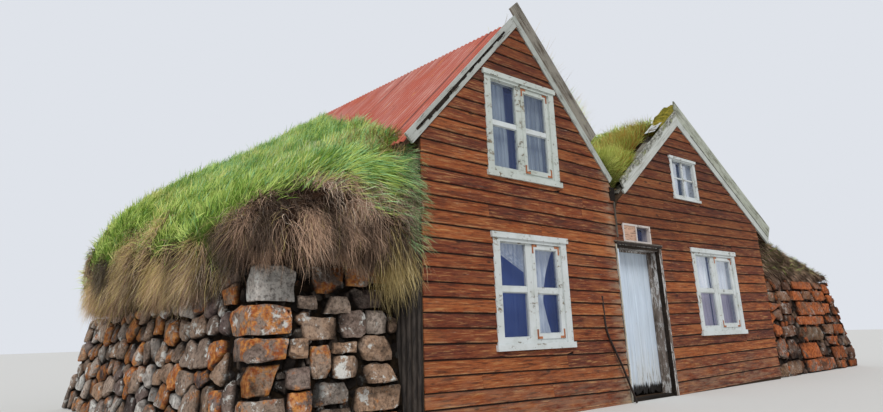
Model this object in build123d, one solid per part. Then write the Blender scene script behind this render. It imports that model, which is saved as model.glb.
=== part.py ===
from build123d import *
import os
from math import cos, radians, sin, tan

# A turf house: two boarded gables side by side under one valley, with battered
# stone walls and turf banks at both ends and behind. Millimetres, +X to the
# right along the front, +Y into the house, +Z up. The origin is at the middle
# of the footprint, on the ground.

# Along the front
LEFT_BANK_REACH = 1820
BIG_WIDTH = 3060
SMALL_WIDTH = 4090
RIGHT_WALL_REACH = 3780

# Front to back
FRONT_REACH = 90
ROOM_DEPTH = 4350
BACK_WALL_DEPTH = 1350

TOTAL_WIDTH = LEFT_BANK_REACH + BIG_WIDTH + SMALL_WIDTH + RIGHT_WALL_REACH
TOTAL_DEPTH = FRONT_REACH + ROOM_DEPTH + BACK_WALL_DEPTH

# Corners of the timber house
BIG_LEFT = LEFT_BANK_REACH - TOTAL_WIDTH / 2
JOIN = BIG_LEFT + BIG_WIDTH
SMALL_RIGHT = JOIN + SMALL_WIDTH
LEFT_END = -TOTAL_WIDTH / 2
RIGHT_END = TOTAL_WIDTH / 2
FRONT = FRONT_REACH - TOTAL_DEPTH / 2
ROOM_BACK = FRONT + ROOM_DEPTH
BACK_END = TOTAL_DEPTH / 2

# Gable lines: the lower edge of the bargeboards
BIG_APEX_HEIGHT = 4310
BIG_PITCH = 47
SMALL_APEX_X = JOIN + 1939
SMALL_APEX_HEIGHT = 3702
SMALL_PITCH_LEFT = 37.4
SMALL_PITCH_RIGHT = 32.8
BIG_EAVE_RUN = 2400
BIG_RIGHT_BARGE_RUN = 2320
BIG_BARGE_WIDE = 120
BIG_RIGHT_BARGE_LOW = -55
BIG_RIGHT_BARGE_HIGH = 30
BIG_RIGHT_BARGE_PAST = 115
BIG_PLANK_HIGH = 215
PLANK_PAST = 215
PLANK_RUN = 1750
SMALL_LEFT_BARGE_RUN = 2030
SMALL_LEFT_BARGE_HIGH = 55
SMALL_LEFT_PLANK_HIGH = 190
SMALL_RIGHT_BARGE_HIGH = 105
SMALL_RIGHT_PLANK_HIGH = 330
SMALL_EAVE_RUN = 2960

# Timber sections
FRONT_WALL = 100
SIDE_WALL = 60
ROOF_LIFT = 20
ROOF_BOARD = 25
IRON_DEPTH = 18
IRON_SHEET = 4
IRON_PITCH = 76
IRON_FRONT_GAP = 60
ROOF_TURF = 115
BARGE_THICK = 28
PLANK_THICK = 24
RAFTER_WIDE = 60
RAFTER_DEEP = 90
RAFTER_COUNT = 5

# Floors, beams and posts
FLOOR_TOP = 30
LOFT_UNDERSIDE = 2150
LOFT_BOARD = 30
BEAM_WIDE = 120
BEAM_DEEP = 160
POST_SIDE = 120
POST_COUNT = 3
JOIST_WIDE = 70
JOIST_DEEP = 100
JOIST_COUNT = 5

# Doorway and transom, set off from the line where the two fronts meet
DOOR_WIDE = 1004
DOOR_HEAD = 1813
JAMB_THICK = 48
JAMB_DEEP = 186
LEAF_THICK = 34
LEAF_RECESS = 150
LEAF_BOTTOM = 38
LEAF_GAP = 6
DOOR_STOP = 22
FLASHING_THICK = 22
FLASHING_REACH = 45
FLASHING_PAST = 30
THRESHOLD_TOP = 30
TRANSOM_LEFT = 203
TRANSOM_WIDE = 625
TRANSOM_BOTTOM = 1850
TRANSOM_HIGH = 235
TRANSOM_BAR = 24
TRANSOM_SPLIT = 0.45
HEAD_WALL_TOP = 2150

# Hinges of the door, on its left side, inside
HINGE_PIN = 6
HINGE_BARREL = 11
HINGE_OFFSET = 16
HINGE_HEIGHTS = (400, 1450)
PIN_CLEARANCE = 0.3
STRAP_LONG = 520
STRAP_THICK = 5
STRAP_HIGH = 44

# Windows: the casing, then the frame in the hole with a fixed light on the left
# and a casement on the right. The small window has two fixed lights
CASING = 95
CASING_THICK = 22
HEAD_BOARD_HIGH = 58
HEAD_CASING = 34
HEAD_BOARD_REACH = 38
HEAD_BOARD_EXTRA = 24
SILL_HIGH = 58
SILL_REACH = 42
SILL_EXTRA = 22
JAMB_LINING = 26
FRAME_THICK = 44
FRAME_SHOW = 8
FRAME_BOTTOM = 62
FIXED_LIGHT_SHARE = 0.41
MULLION = 94
CASEMENT_SHOW = 22
CASEMENT_LOW = 41
CASEMENT_BAR = 50
CASEMENT_THICK = 36
CASEMENT_PROUD = 8
SMALL_MULLION = 30
GLASS = 4
FIXED_GLASS_BACK = 22
CASEMENT_GLASS_BACK = 14
CURTAIN_THICK = 40
CURTAIN_GAP = 30

# name, left edge, bottom, width, height of the casing
WINDOWS = (
    ("lower_window", BIG_LEFT + 921, 637, 1167, 1163),
    ("upper_window", BIG_LEFT + 909, 2386, 1172, 1206),
    ("attic_window", JOIN + 1578, 2550, 715, 637),
    ("right_window", JOIN + 1836, 688, 1283, 1188),
)
SMALL_WINDOW = "attic_window"
SMALL_WINDOW_SCALE = 0.62

# Stone walls and turf
STONE_TOP_FRONT = 1420
STONE_TOP_BACK = 1120
RIGHT_STONE_TOP = 1540
WALL_SEAM = 20
TURF_SEAM = 0.3
LEFT_FACE_TOE = 170
LEFT_FACE_TOP = 400
LEFT_SIDE_TOE = 240
LEFT_SIDE_TOP = 420
RIGHT_FACE_TOE = 30
RIGHT_FACE_TOP = 130
RIGHT_END_BATTER = 580
BACK_BATTER = 200
BACK_TURF_LEAN = 350
BANK_FRONT = 60
BROW_DROP = 170
BANK_CORNER_HEIGHT = 2000
BANK_REAR_HEIGHT = 2200
BANK_CORNER_IN = 430
BANK_REAR_IN = 180
BANK_BULGE = 60
BANK_SPANS = 6
BANK_ROLL = 60
EAVE_TUCK = 140
IRON_TURF_TOE = 120
IRON_TURF_HIGH = 90
IRON_TURF_BELOW_RIDGE = 60
VALLEY_TURF_WIDE = 820
VERGE_TURF_BACK = 40
RIDGE_TURF_RUN = 700
SHEET_PATCH_DEEP = 300
RIGHT_BANK_FRONT = 90
RIGHT_BANK_END_HIGH = 120
RIGHT_BANK_END_IN = 60
BACK_TURF_IN = 80
BACK_TURF_END_HIGH = 300
BACK_TURF_TOP_IN = 350
BACK_COURSES = 4
BACK_COURSE_HIGH = 620
BACK_JOINT_HIGH = 260
BACK_JOINT_DEEP = 110
IRON_PANEL_DEEP = 18
IRON_PANEL_BACK = 560
IRON_PANEL_TOP = 2440

# Leaning iron bar beside the door: radius, top, and how far its foot stands from the seam
BAR_RADIUS = 12
BAR_TOP = 1182
BAR_TOP_LEFT = 372
BAR_KNEE_LEFT = 372
BAR_KNEE_HIGH = 790
BAR_SHIN_LEFT = 160
BAR_SHIN_HIGH = 390
BAR_FOOT_RIGHT = 5
BAR_STRAIGHT = 150

PARTS = "parts"


def block(x0, x1, y0, y1, z0, z1):
    """An upright box between two corners."""
    size = Box(x1 - x0, y1 - y0, z1 - z0, align=(Align.MIN, Align.MIN, Align.MIN))
    return Pos(x0, y0, z0) * size


def prism(points, y0, y1):
    """An outline of (x, z) points, drawn out from y0 to y1."""
    outline = [Vector(x, y0, z) for x, z in points]
    face = Face(Wire.make_polygon(outline, close=True))
    return Solid.extrude(face, Vector(0, y1 - y0, 0))


def outline_wire(points, y, bulge=None):
    """A closed outline of (x, z) points at depth y, with one edge bowed out."""
    edges = []
    count = len(points)
    for index in range(count):
        start = Vector(points[index][0], y, points[index][1])
        end = Vector(points[(index + 1) % count][0], y, points[(index + 1) % count][1])
        if bulge and bulge[0] == index:
            run = (end - start).normalized()
            out = Vector(-run.Z, 0, run.X) * bulge[1]
            edges.append(Edge.make_three_point_arc(start, (start + end) * 0.5 + out, end))
        else:
            edges.append(Edge.make_line(start, end))
    return Wire(edges)


def ruled(front_points, front_y, back_points, back_y, bulge=None):
    """A solid ruled between an outline in front and one behind."""
    front = outline_wire(front_points, front_y, bulge)
    back = outline_wire(back_points, back_y, bulge)
    return Solid.make_loft([front, back], ruled=True)


def rolling(front_points, front_y, back_points, back_y, bulge, rolled):
    """A bank ruled through sections, the rolled corners rising and dipping along it."""
    wires = []
    for index in range(BANK_SPANS + 1):
        share = index / BANK_SPANS
        lift = 0
        if 0 < index < BANK_SPANS:
            lift = BANK_ROLL if index % 2 else -BANK_ROLL
        section = []
        for corner, (near, far) in enumerate(zip(front_points, back_points)):
            x = near[0] + (far[0] - near[0]) * share
            z = near[1] + (far[1] - near[1]) * share
            if corner in rolled:
                x -= lift / 2
                z += lift
            section.append((x, z))
        wires.append(outline_wire(section, front_y + (back_y - front_y) * share, bulge))
    return Solid.make_loft(wires, ruled=True)


def battered(low, high, z0, z1):
    """A wall block with leaning faces: (x0, x1, y0, y1) at its foot and its top."""
    wires = []
    for (x0, x1, y0, y1), z in ((low, z0), (high, z1)):
        corners = [Vector(x0, y0, z), Vector(x1, y0, z), Vector(x1, y1, z), Vector(x0, y1, z)]
        wires.append(Wire.make_polygon(corners, close=True))
    return Solid.make_loft(wires, ruled=True)


class Slope:
    """One roof slope. s runs down it from the apex, h stands off its lower line."""

    def __init__(self, apex_x, apex_z, pitch, side):
        self.apex = (apex_x, apex_z)
        self.down = (side * cos(radians(pitch)), -sin(radians(pitch)))
        self.out = (side * sin(radians(pitch)), cos(radians(pitch)))
        self.pitch = pitch
        self.side = side

    def at(self, s, h):
        x = self.apex[0] + self.down[0] * s + self.out[0] * h
        z = self.apex[1] + self.down[1] * s + self.out[1] * h
        return (x, z)

    def mitre(self, h):
        """Where the plumb cut at the apex meets the line at h."""
        return -h * tan(radians(self.pitch))

    def run_to(self, x, h):
        """How far down the slope the line at h passes x."""
        return (x - self.apex[0] - self.out[0] * h) / self.down[0]

    def height(self, x, h):
        return self.at(self.run_to(x, h), h)[1]

    def strip(self, start, end, low, high, y0, y1):
        """A board along the slope. start None is the plumb cut at the apex."""
        first_low = self.mitre(low) if start is None else start
        first_high = self.mitre(high) if start is None else start
        corners = [
            self.at(first_low, low),
            self.at(end, low),
            self.at(end, high),
            self.at(first_high, high),
        ]
        return prism(corners, y0, y1)

    def plumb_strip(self, end_x, low, high, y0, y1):
        """A board along the slope from the apex, cut plumb at end_x."""
        corners = [
            (self.apex[0], self.at(self.mitre(low), low)[1]),
            (end_x, self.height(end_x, low)),
            (end_x, self.height(end_x, high)),
            (self.apex[0], self.at(self.mitre(high), high)[1]),
        ]
        return prism(corners, y0, y1)


BIG_APEX_X = BIG_LEFT + BIG_WIDTH / 2
BIG_L = Slope(BIG_APEX_X, BIG_APEX_HEIGHT, BIG_PITCH, -1)
BIG_R = Slope(BIG_APEX_X, BIG_APEX_HEIGHT, BIG_PITCH, 1)
SMALL_L = Slope(SMALL_APEX_X, SMALL_APEX_HEIGHT, SMALL_PITCH_LEFT, -1)
SMALL_R = Slope(SMALL_APEX_X, SMALL_APEX_HEIGHT, SMALL_PITCH_RIGHT, 1)

BOARD_TOP = ROOF_LIFT + ROOF_BOARD
IRON_TOP = BOARD_TOP + IRON_DEPTH
TURF_TOP = BOARD_TOP + ROOF_TURF
DOOR_X0 = JOIN
DOOR_X1 = DOOR_X0 + DOOR_WIDE
WALL_BACK = FRONT + FRONT_WALL


def timber_scale(name):
    """The small window is made of lighter stuff than the others."""
    return SMALL_WINDOW_SCALE if name == SMALL_WINDOW else 1.0


def window_opening(name, left, bottom, width, height):
    """The hole in the wall, which the casing laps over on three sides."""
    scale = timber_scale(name)
    x0 = left + CASING * scale - JAMB_LINING
    x1 = left + width - CASING * scale + JAMB_LINING
    z0 = bottom + SILL_HIGH * scale
    z1 = bottom + height - (HEAD_BOARD_HIGH + HEAD_CASING) * scale + JAMB_LINING
    return x0, x1, z0, z1


def cut_windows(wall, names):
    for name, left, bottom, width, height in WINDOWS:
        if name in names:
            x0, x1, z0, z1 = window_opening(name, left, bottom, width, height)
            wall = wall - block(x0, x1, FRONT - 1, WALL_BACK + 1, z0, z1)
    return wall


def window_frame(name, left, bottom, width, height):
    """Casing boards on the wall, with the head board and the sill."""
    scale = timber_scale(name)
    face = CASING * scale
    right = left + width
    top = bottom + height - HEAD_BOARD_HIGH * scale
    z0, z1 = window_opening(name, left, bottom, width, height)[2:]
    front = FRONT - CASING_THICK
    ring = block(left, right, front, FRONT, z0, top)
    ring = ring - block(left + face, right - face, front - 1, FRONT + 1, z0 - 1, z1 - JAMB_LINING)
    head = block(
        left - HEAD_BOARD_EXTRA * scale,
        right + HEAD_BOARD_EXTRA * scale,
        FRONT - HEAD_BOARD_REACH,
        FRONT,
        top,
        top + HEAD_BOARD_HIGH * scale,
    )
    sill = block(
        left - SILL_EXTRA * scale,
        right + SILL_EXTRA * scale,
        FRONT - SILL_REACH,
        FRONT,
        bottom,
        z0,
    )
    return ring + head + sill


def window_lights(name, left, bottom, width, height):
    """Outlines (x0, x1, z0, z1) of the left light, and of the right one or the casement."""
    scale = timber_scale(name)
    x0 = left + CASING * scale + FRAME_SHOW * scale
    x1 = left + width - CASING * scale
    z0, z1 = window_opening(name, left, bottom, width, height)[2:]
    z1 = z1 - JAMB_LINING
    low = z0 + FRAME_BOTTOM * scale
    high = z1 - FRAME_SHOW * scale
    if name == SMALL_WINDOW:
        middle = left + width / 2
        first = (x0, middle - SMALL_MULLION / 2, low, high)
        return first, (middle + SMALL_MULLION / 2, x1 - FRAME_SHOW * scale, low, high)
    split = x0 + FIXED_LIGHT_SHARE * (x1 - x0)
    casement = (split + MULLION, x1 - CASEMENT_SHOW, z0 + CASEMENT_LOW, z1 - FRAME_SHOW / 2)
    return (x0, split, low, high), casement


def inner(outline, bar):
    x0, x1, z0, z1 = outline
    return x0 + bar, x1 - bar, z0 + bar, z1 - bar


def pierced(solid, outline, y0, y1):
    """The solid with a rectangular hole through it from y0 to y1."""
    x0, x1, z0, z1 = outline
    return solid - block(x0, x1, y0, y1, z0, z1)


def window_sashes(name, left, bottom, width, height):
    """The frame and lining in the hole, and the casement that shuts in it."""
    x0, x1, z0, z1 = window_opening(name, left, bottom, width, height)
    first, second = window_lights(name, left, bottom, width, height)
    body = block(x0, x1, FRONT, WALL_BACK, z0, z1)
    room = (x0 + JAMB_LINING, x1 - JAMB_LINING, z0 + JAMB_LINING, z1 - JAMB_LINING)
    body = pierced(body, room, FRONT + FRAME_THICK, WALL_BACK + 1)
    body = pierced(body, first, FRONT - 1, FRONT + FRAME_THICK + 1)
    body = pierced(body, second, FRONT - 1, FRONT + FRAME_THICK + 1)
    if name == SMALL_WINDOW:
        return [body]
    y0 = FRONT - CASEMENT_PROUD
    y1 = y0 + CASEMENT_THICK
    c0, c1, d0, d1 = second
    casement = block(c0, c1, y0, y1, d0, d1)
    return [body, pierced(casement, inner(second, CASEMENT_BAR), y0 - 1, y1 + 1)]


def window_glass(name, left, bottom, width, height):
    """One sheet in each light."""
    first, second = window_lights(name, left, bottom, width, height)
    second_back = FIXED_GLASS_BACK
    if name != SMALL_WINDOW:
        second = inner(second, CASEMENT_BAR)
        second_back = CASEMENT_GLASS_BACK
    sheets = []
    for (x0, x1, z0, z1), back in ((first, FIXED_GLASS_BACK), (second, second_back)):
        sheets.append(block(x0, x1, FRONT + back, FRONT + back + GLASS, z0, z1))
    return sheets


def window_curtain(name, left, bottom, width, height):
    """The space that the hung cloth takes up behind a window, on the wall's inner face."""
    x0, x1, z0, z1 = window_opening(name, left, bottom, width, height)
    y0 = WALL_BACK + TURF_SEAM
    return block(x0 - CURTAIN_GAP, x1 + CURTAIN_GAP, y0, y0 + CURTAIN_THICK, z0, z1 + CURTAIN_GAP)


def big_front_wall():
    corners = [
        (BIG_LEFT, 0),
        (JOIN, 0),
        (JOIN, BIG_R.height(JOIN, ROOF_LIFT)),
        (BIG_APEX_X, BIG_L.at(BIG_L.mitre(ROOF_LIFT), ROOF_LIFT)[1]),
        (BIG_LEFT, BIG_L.height(BIG_LEFT, ROOF_LIFT)),
    ]
    wall = prism(corners, FRONT, WALL_BACK)
    return cut_windows(wall, ("lower_window", "upper_window"))


def small_gable_wall():
    """The part of the small front above the door head."""
    corners = [
        (JOIN, HEAD_WALL_TOP),
        (SMALL_RIGHT, HEAD_WALL_TOP),
        (SMALL_RIGHT, SMALL_R.height(SMALL_RIGHT, ROOF_LIFT)),
        (SMALL_APEX_X, SMALL_R.at(SMALL_R.mitre(ROOF_LIFT), ROOF_LIFT)[1]),
        (JOIN, SMALL_L.height(JOIN, ROOF_LIFT)),
    ]
    wall = prism(corners, FRONT, WALL_BACK)
    return cut_windows(wall, ("attic_window",))


def small_front_wall():
    wall = block(DOOR_X1, SMALL_RIGHT, FRONT, WALL_BACK, 0, HEAD_WALL_TOP)
    return cut_windows(wall, ("right_window",))


def transom_hole(y0, y1):
    x0 = JOIN + TRANSOM_LEFT
    return block(x0, x0 + TRANSOM_WIDE, y0, y1, TRANSOM_BOTTOM, TRANSOM_BOTTOM + TRANSOM_HIGH)


def door_head_wall():
    wall = block(DOOR_X0, DOOR_X1, FRONT, WALL_BACK, DOOR_HEAD, HEAD_WALL_TOP)
    return wall - transom_hole(FRONT - 1, WALL_BACK + 1)


def transom_lights():
    """Outlines (x0, x1, z0, z1) of the transom's boarded left light and its right light."""
    x0 = JOIN + TRANSOM_LEFT
    x1 = x0 + TRANSOM_WIDE
    split = x0 + TRANSOM_WIDE * TRANSOM_SPLIT
    z0 = TRANSOM_BOTTOM + TRANSOM_BAR
    z1 = TRANSOM_BOTTOM + TRANSOM_HIGH - TRANSOM_BAR
    return (x0 + TRANSOM_BAR, split, z0, z1), (split + TRANSOM_BAR, x1 - TRANSOM_BAR, z0, z1)


def transom_frame():
    """The frame over the door, with the board that fills its left light."""
    y0 = FRONT - FLASHING_THICK
    boarded, glazed = transom_lights()
    frame = pierced(transom_hole(y0, WALL_BACK), boarded, y0 - 1, WALL_BACK + 1)
    frame = pierced(frame, glazed, y0 - 1, WALL_BACK + 1)
    x0, x1, z0, z1 = boarded
    return frame + block(x0, x1, FRONT, FRONT + PLANK_THICK, z0, z1)


def transom_glass():
    x0, x1, z0, z1 = transom_lights()[1]
    return block(x0, x1, FRONT + PLANK_THICK, FRONT + PLANK_THICK + GLASS, z0, z1)


def door_frame():
    """Two jambs and a head lining the doorway, with a stop behind the leaf's face."""
    y0 = FRONT - FLASHING_THICK
    y1 = FRONT + JAMB_DEEP
    stop_y0 = FRONT + LEAF_RECESS - DOOR_STOP - LEAF_GAP
    x0, x1 = DOOR_X0 + JAMB_THICK, DOOR_X1 - JAMB_THICK
    low = THRESHOLD_TOP
    high = DOOR_HEAD - JAMB_THICK
    frame = block(DOOR_X0, DOOR_X1, y0, y1, low, DOOR_HEAD)
    frame = frame - block(x0, x1, y0 - 1, y1 + 1, low - 1, high)
    stop = block(x0, x1, stop_y0, stop_y0 + DOOR_STOP, low, high)
    way = block(
        x0 + DOOR_STOP, x1 - DOOR_STOP, stop_y0 - 1, stop_y0 + DOOR_STOP + 1, low - 1, high - DOOR_STOP
    )
    return frame + (stop - way)


LEAF_X0 = DOOR_X0 + JAMB_THICK + LEAF_GAP
LEAF_X1 = DOOR_X1 - JAMB_THICK - LEAF_GAP
LEAF_Y0 = FRONT + LEAF_RECESS
LEAF_Y1 = LEAF_Y0 + LEAF_THICK
LEAF_TOP = DOOR_HEAD - JAMB_THICK - LEAF_GAP
HINGE_X = LEAF_X0 - LEAF_GAP / 2
HINGE_Y = LEAF_Y1 + HINGE_OFFSET


def door_leaf():
    return block(LEAF_X0, LEAF_X1, LEAF_Y0, LEAF_Y1, LEAF_BOTTOM, LEAF_TOP)


def door_straps():
    """Two strap hinges on the inside of the leaf, each with a rolled eye."""
    straps = []
    for height in HINGE_HEIGHTS:
        z0 = height - STRAP_HIGH / 2
        z1 = height + STRAP_HIGH / 2
        strap = block(HINGE_X, HINGE_X + STRAP_LONG, LEAF_Y1, LEAF_Y1 + STRAP_THICK, z0, z1)
        web = block(HINGE_X, HINGE_X + STRAP_THICK, LEAF_Y1, HINGE_Y, z0, z1)
        eye = Pos(HINGE_X, HINGE_Y, height) * Cylinder(HINGE_BARREL, STRAP_HIGH)
        hole = Pos(HINGE_X, HINGE_Y, height) * Cylinder(HINGE_PIN + PIN_CLEARANCE, STRAP_HIGH + 2)
        straps.append(strap + web + eye - hole)
    return straps


def door_pintles():
    """The pins on the left jamb that the strap hinges turn on."""
    pintles = []
    for height in HINGE_HEIGHTS:
        foot_top = height - STRAP_HIGH / 2 - 1
        pin = Pos(HINGE_X, HINGE_Y, height) * Cylinder(HINGE_PIN, STRAP_HIGH + 2 * STRAP_THICK)
        foot = block(
            DOOR_X0,
            HINGE_X + HINGE_PIN,
            FRONT + JAMB_DEEP,
            HINGE_Y + HINGE_PIN,
            foot_top - STRAP_HIGH / 2,
            foot_top,
        )
        pintles.append(pin + foot)
    return pintles


def iron_roof():
    """Corrugated sheet on the left slope: the waves run along the ridge."""
    length = ROOM_DEPTH - IRON_FRONT_GAP
    waves = int(length // IRON_PITCH)
    y0 = FRONT + IRON_FRONT_GAP
    start = BIG_L.mitre(BOARD_TOP)
    end = BIG_L.run_to(BIG_LEFT - EAVE_TUCK, BOARD_TOP)
    mean = BOARD_TOP + IRON_DEPTH / 2 + TURF_SEAM
    swing = (IRON_DEPTH - IRON_SHEET) / 2
    plane = Plane(
        origin=(BIG_L.at(start, mean)[0], y0, BIG_L.at(start, mean)[1]),
        x_dir=(0, 1, 0),
        z_dir=(BIG_L.down[0], 0, BIG_L.down[1]),
    )
    half = IRON_PITCH / 2
    edges = []
    for side, shift in ((1, -IRON_SHEET / 2), (-1, IRON_SHEET / 2)):
        for index in range(2 * waves):
            sign = 1 if index % 2 == 0 else -1
            u0 = index * half
            start_point = Vector(u0, shift)
            end_point = Vector(u0 + half, shift)
            middle = Vector(u0 + half / 2, sign * swing + shift)
            edges.append(Edge.make_three_point_arc(start_point, middle, end_point))
    span = 2 * waves * half
    edges.append(Edge.make_line(Vector(0, -IRON_SHEET / 2), Vector(0, IRON_SHEET / 2)))
    edges.append(Edge.make_line(Vector(span, -IRON_SHEET / 2), Vector(span, IRON_SHEET / 2)))
    profile = plane * Face(Wire.combine(edges)[0])
    direction = Vector(BIG_L.down[0], 0, BIG_L.down[1]) * (end - start)
    return Solid.extrude(profile, direction)


def iron_panel():
    """Upright corrugated sheet on the big house's side, between turf and front."""
    waves = int((IRON_PANEL_BACK - CASING_THICK) // IRON_PITCH)
    half = IRON_PITCH / 2
    x0 = BIG_LEFT - IRON_PANEL_DEEP / 2
    swing = (IRON_PANEL_DEEP - IRON_SHEET) / 2
    edges = []
    for shift in (-IRON_SHEET / 2, IRON_SHEET / 2):
        for index in range(2 * waves):
            sign = 1 if index % 2 == 0 else -1
            y_start = FRONT + index * half
            edges.append(
                Edge.make_three_point_arc(
                    Vector(x0 + shift, y_start, 0),
                    Vector(x0 + shift + sign * swing, y_start + half / 2, 0),
                    Vector(x0 + shift, y_start + half, 0),
                )
            )
    for y in (FRONT, FRONT + 2 * waves * half):
        edges.append(Edge.make_line(Vector(x0 - IRON_SHEET / 2, y, 0), Vector(x0 + IRON_SHEET / 2, y, 0)))
    return Solid.extrude(Face(Wire.combine(edges)[0]), Vector(0, 0, IRON_PANEL_TOP))


def rafters():
    """Pairs of rafters under each roof, cut plumb where they meet at the ridge."""
    first = WALL_BACK
    last = ROOM_BACK - RAFTER_WIDE
    low = ROOF_LIFT - RAFTER_DEEP
    foot_drop = SMALL_L.height(SMALL_APEX_X, low) - loft_levels()[2]
    rafter_foot = SMALL_APEX_X - foot_drop / tan(radians(SMALL_PITCH_LEFT))
    pieces = []
    for index in range(RAFTER_COUNT):
        y0 = first + (last - first) * (index + 0.5) / RAFTER_COUNT
        y1 = y0 + RAFTER_WIDE
        for slope, end_x in (
            (BIG_L, BIG_LEFT + SIDE_WALL),
            (BIG_R, JOIN - SIDE_WALL),
            (SMALL_L, rafter_foot),
            (SMALL_R, SMALL_RIGHT - SIDE_WALL),
        ):
            pieces.append(slope.plumb_strip(end_x, low, ROOF_LIFT, y0, y1))
    return pieces


def loft_levels():
    joist_top = LOFT_UNDERSIDE
    return joist_top - JOIST_DEEP, joist_top, joist_top + LOFT_BOARD


def loft_joists():
    z0, z1, _ = loft_levels()
    first = WALL_BACK + JOIST_WIDE
    last = ROOM_BACK - 2 * JOIST_WIDE
    pieces = []
    for index in range(JOIST_COUNT):
        y0 = first + (last - first) * index / (JOIST_COUNT - 1)
        pieces.append(block(BIG_LEFT + SIDE_WALL, SMALL_RIGHT - SIDE_WALL, y0, y0 + JOIST_WIDE, z0, z1))
    return pieces


def valley_posts():
    z1 = loft_levels()[0] - BEAM_DEEP
    first = WALL_BACK + POST_SIDE
    last = ROOM_BACK - POST_SIDE
    pieces = []
    for index in range(POST_COUNT):
        y0 = first + (last - first - POST_SIDE) * index / (POST_COUNT - 1)
        pieces.append(block(JOIN - POST_SIDE, JOIN, y0, y0 + POST_SIDE, FLOOR_TOP, z1))
    return pieces


def left_stone_wall():
    """The battered wall left of the timber front; its top falls to the rear."""
    inner = BIG_LEFT - WALL_SEAM
    low = (LEFT_END + LEFT_SIDE_TOE, inner, FRONT + LEFT_FACE_TOE, ROOM_BACK)
    high = (LEFT_END + LEFT_SIDE_TOP, inner, FRONT + LEFT_FACE_TOP, ROOM_BACK)
    wall = battered(low, high, 0, STONE_TOP_FRONT)
    fall = [
        Vector(0, FRONT + LEFT_FACE_TOP, STONE_TOP_FRONT),
        Vector(0, ROOM_BACK + 1, STONE_TOP_BACK),
        Vector(0, ROOM_BACK + 1, STONE_TOP_FRONT + 1),
        Vector(0, FRONT + LEFT_FACE_TOP, STONE_TOP_FRONT + 1),
    ]
    cut = Solid.extrude(Face(Wire.make_polygon(fall, close=True)), Vector(LEFT_BANK_REACH * 2, 0, 0))
    return wall - Pos(LEFT_END - 1, 0, 0) * cut


def left_stone_top(y):
    share = max(0.0, (y - FRONT - LEFT_FACE_TOP) / (ROOM_DEPTH - LEFT_FACE_TOP))
    return STONE_TOP_FRONT + (STONE_TOP_BACK - STONE_TOP_FRONT) * share


EAVE_X = BIG_LEFT - EAVE_TUCK
BANK_IN = EAVE_X - WALL_SEAM


def left_turf_bank():
    """Turf on the left wall, rolling and twisting from under the eave to the rear slope."""
    inner = BIG_LEFT - WALL_SEAM
    under_wall = BIG_L.height(inner, ROOF_LIFT) - TURF_SEAM
    under_eave = BIG_L.height(BANK_IN, ROOF_LIFT) - TURF_SEAM
    eave_top = BIG_L.height(EAVE_X, IRON_TOP)
    ridge_top = BIG_L.height(BIG_APEX_X, IRON_TOP)
    rear_x = LEFT_END + BANK_REAR_IN
    rear_slope = (ridge_top - BANK_REAR_HEIGHT) / (BIG_APEX_X - rear_x)
    rear_eave = BANK_REAR_HEIGHT + rear_slope * (EAVE_X - rear_x)
    front_y = FRONT + LEFT_FACE_TOP
    front = [
        (inner, left_stone_top(front_y) + TURF_SEAM),
        (inner, under_wall),
        (BANK_IN, under_eave),
        (BANK_IN, eave_top),
        (LEFT_END + BANK_CORNER_IN, BANK_CORNER_HEIGHT),
        (LEFT_END + LEFT_SIDE_TOE, (BANK_CORNER_HEIGHT + STONE_TOP_FRONT) / 2),
        (LEFT_END + LEFT_SIDE_TOP, left_stone_top(front_y) + TURF_SEAM),
    ]
    back = [
        (inner, STONE_TOP_BACK + TURF_SEAM),
        (inner, under_wall),
        (BANK_IN, under_eave),
        (BANK_IN, rear_eave),
        (rear_x, BANK_REAR_HEIGHT),
        (LEFT_END, (BANK_REAR_HEIGHT + STONE_TOP_BACK) / 2),
        (LEFT_END + LEFT_SIDE_TOP - BANK_REAR_IN / 2, STONE_TOP_BACK + TURF_SEAM),
    ]
    return rolling(front, front_y, back, ROOM_BACK, bulge=(3, -BANK_BULGE), rolled=(4, 5))


def left_bank_front():
    """The thick turf brow over the front stones, thinning towards the front."""
    inner = BIG_LEFT - WALL_SEAM
    front_y = FRONT + BANK_FRONT
    back_y = FRONT + LEFT_FACE_TOP
    under_wall = BIG_L.height(inner, ROOF_LIFT) - TURF_SEAM
    under_eave = BIG_L.height(BANK_IN, ROOF_LIFT) - TURF_SEAM
    eave_top = BIG_L.height(EAVE_X, IRON_TOP)
    base = STONE_TOP_FRONT + TURF_SEAM
    back = [
        (inner, base),
        (inner, under_wall),
        (BANK_IN, under_eave),
        (BANK_IN, eave_top),
        (LEFT_END + BANK_CORNER_IN, BANK_CORNER_HEIGHT),
        (LEFT_END + LEFT_SIDE_TOE, (BANK_CORNER_HEIGHT + STONE_TOP_FRONT) / 2),
        (LEFT_END + LEFT_SIDE_TOP, base),
    ]
    drop = BROW_DROP
    front = [
        (inner - IRON_PANEL_DEEP, base + drop),
        (inner - IRON_PANEL_DEEP, under_wall - drop),
        (BANK_IN, under_eave - drop / 2),
        (BANK_IN, eave_top - drop),
        (LEFT_END + BANK_CORNER_IN + drop, BANK_CORNER_HEIGHT - drop),
        (LEFT_END + LEFT_SIDE_TOE + drop, (BANK_CORNER_HEIGHT + STONE_TOP_FRONT) / 2),
        (LEFT_END + LEFT_SIDE_TOP + drop, base + drop / 2),
    ]
    return ruled(front, front_y, back, back_y, bulge=(3, -BANK_BULGE))


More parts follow.
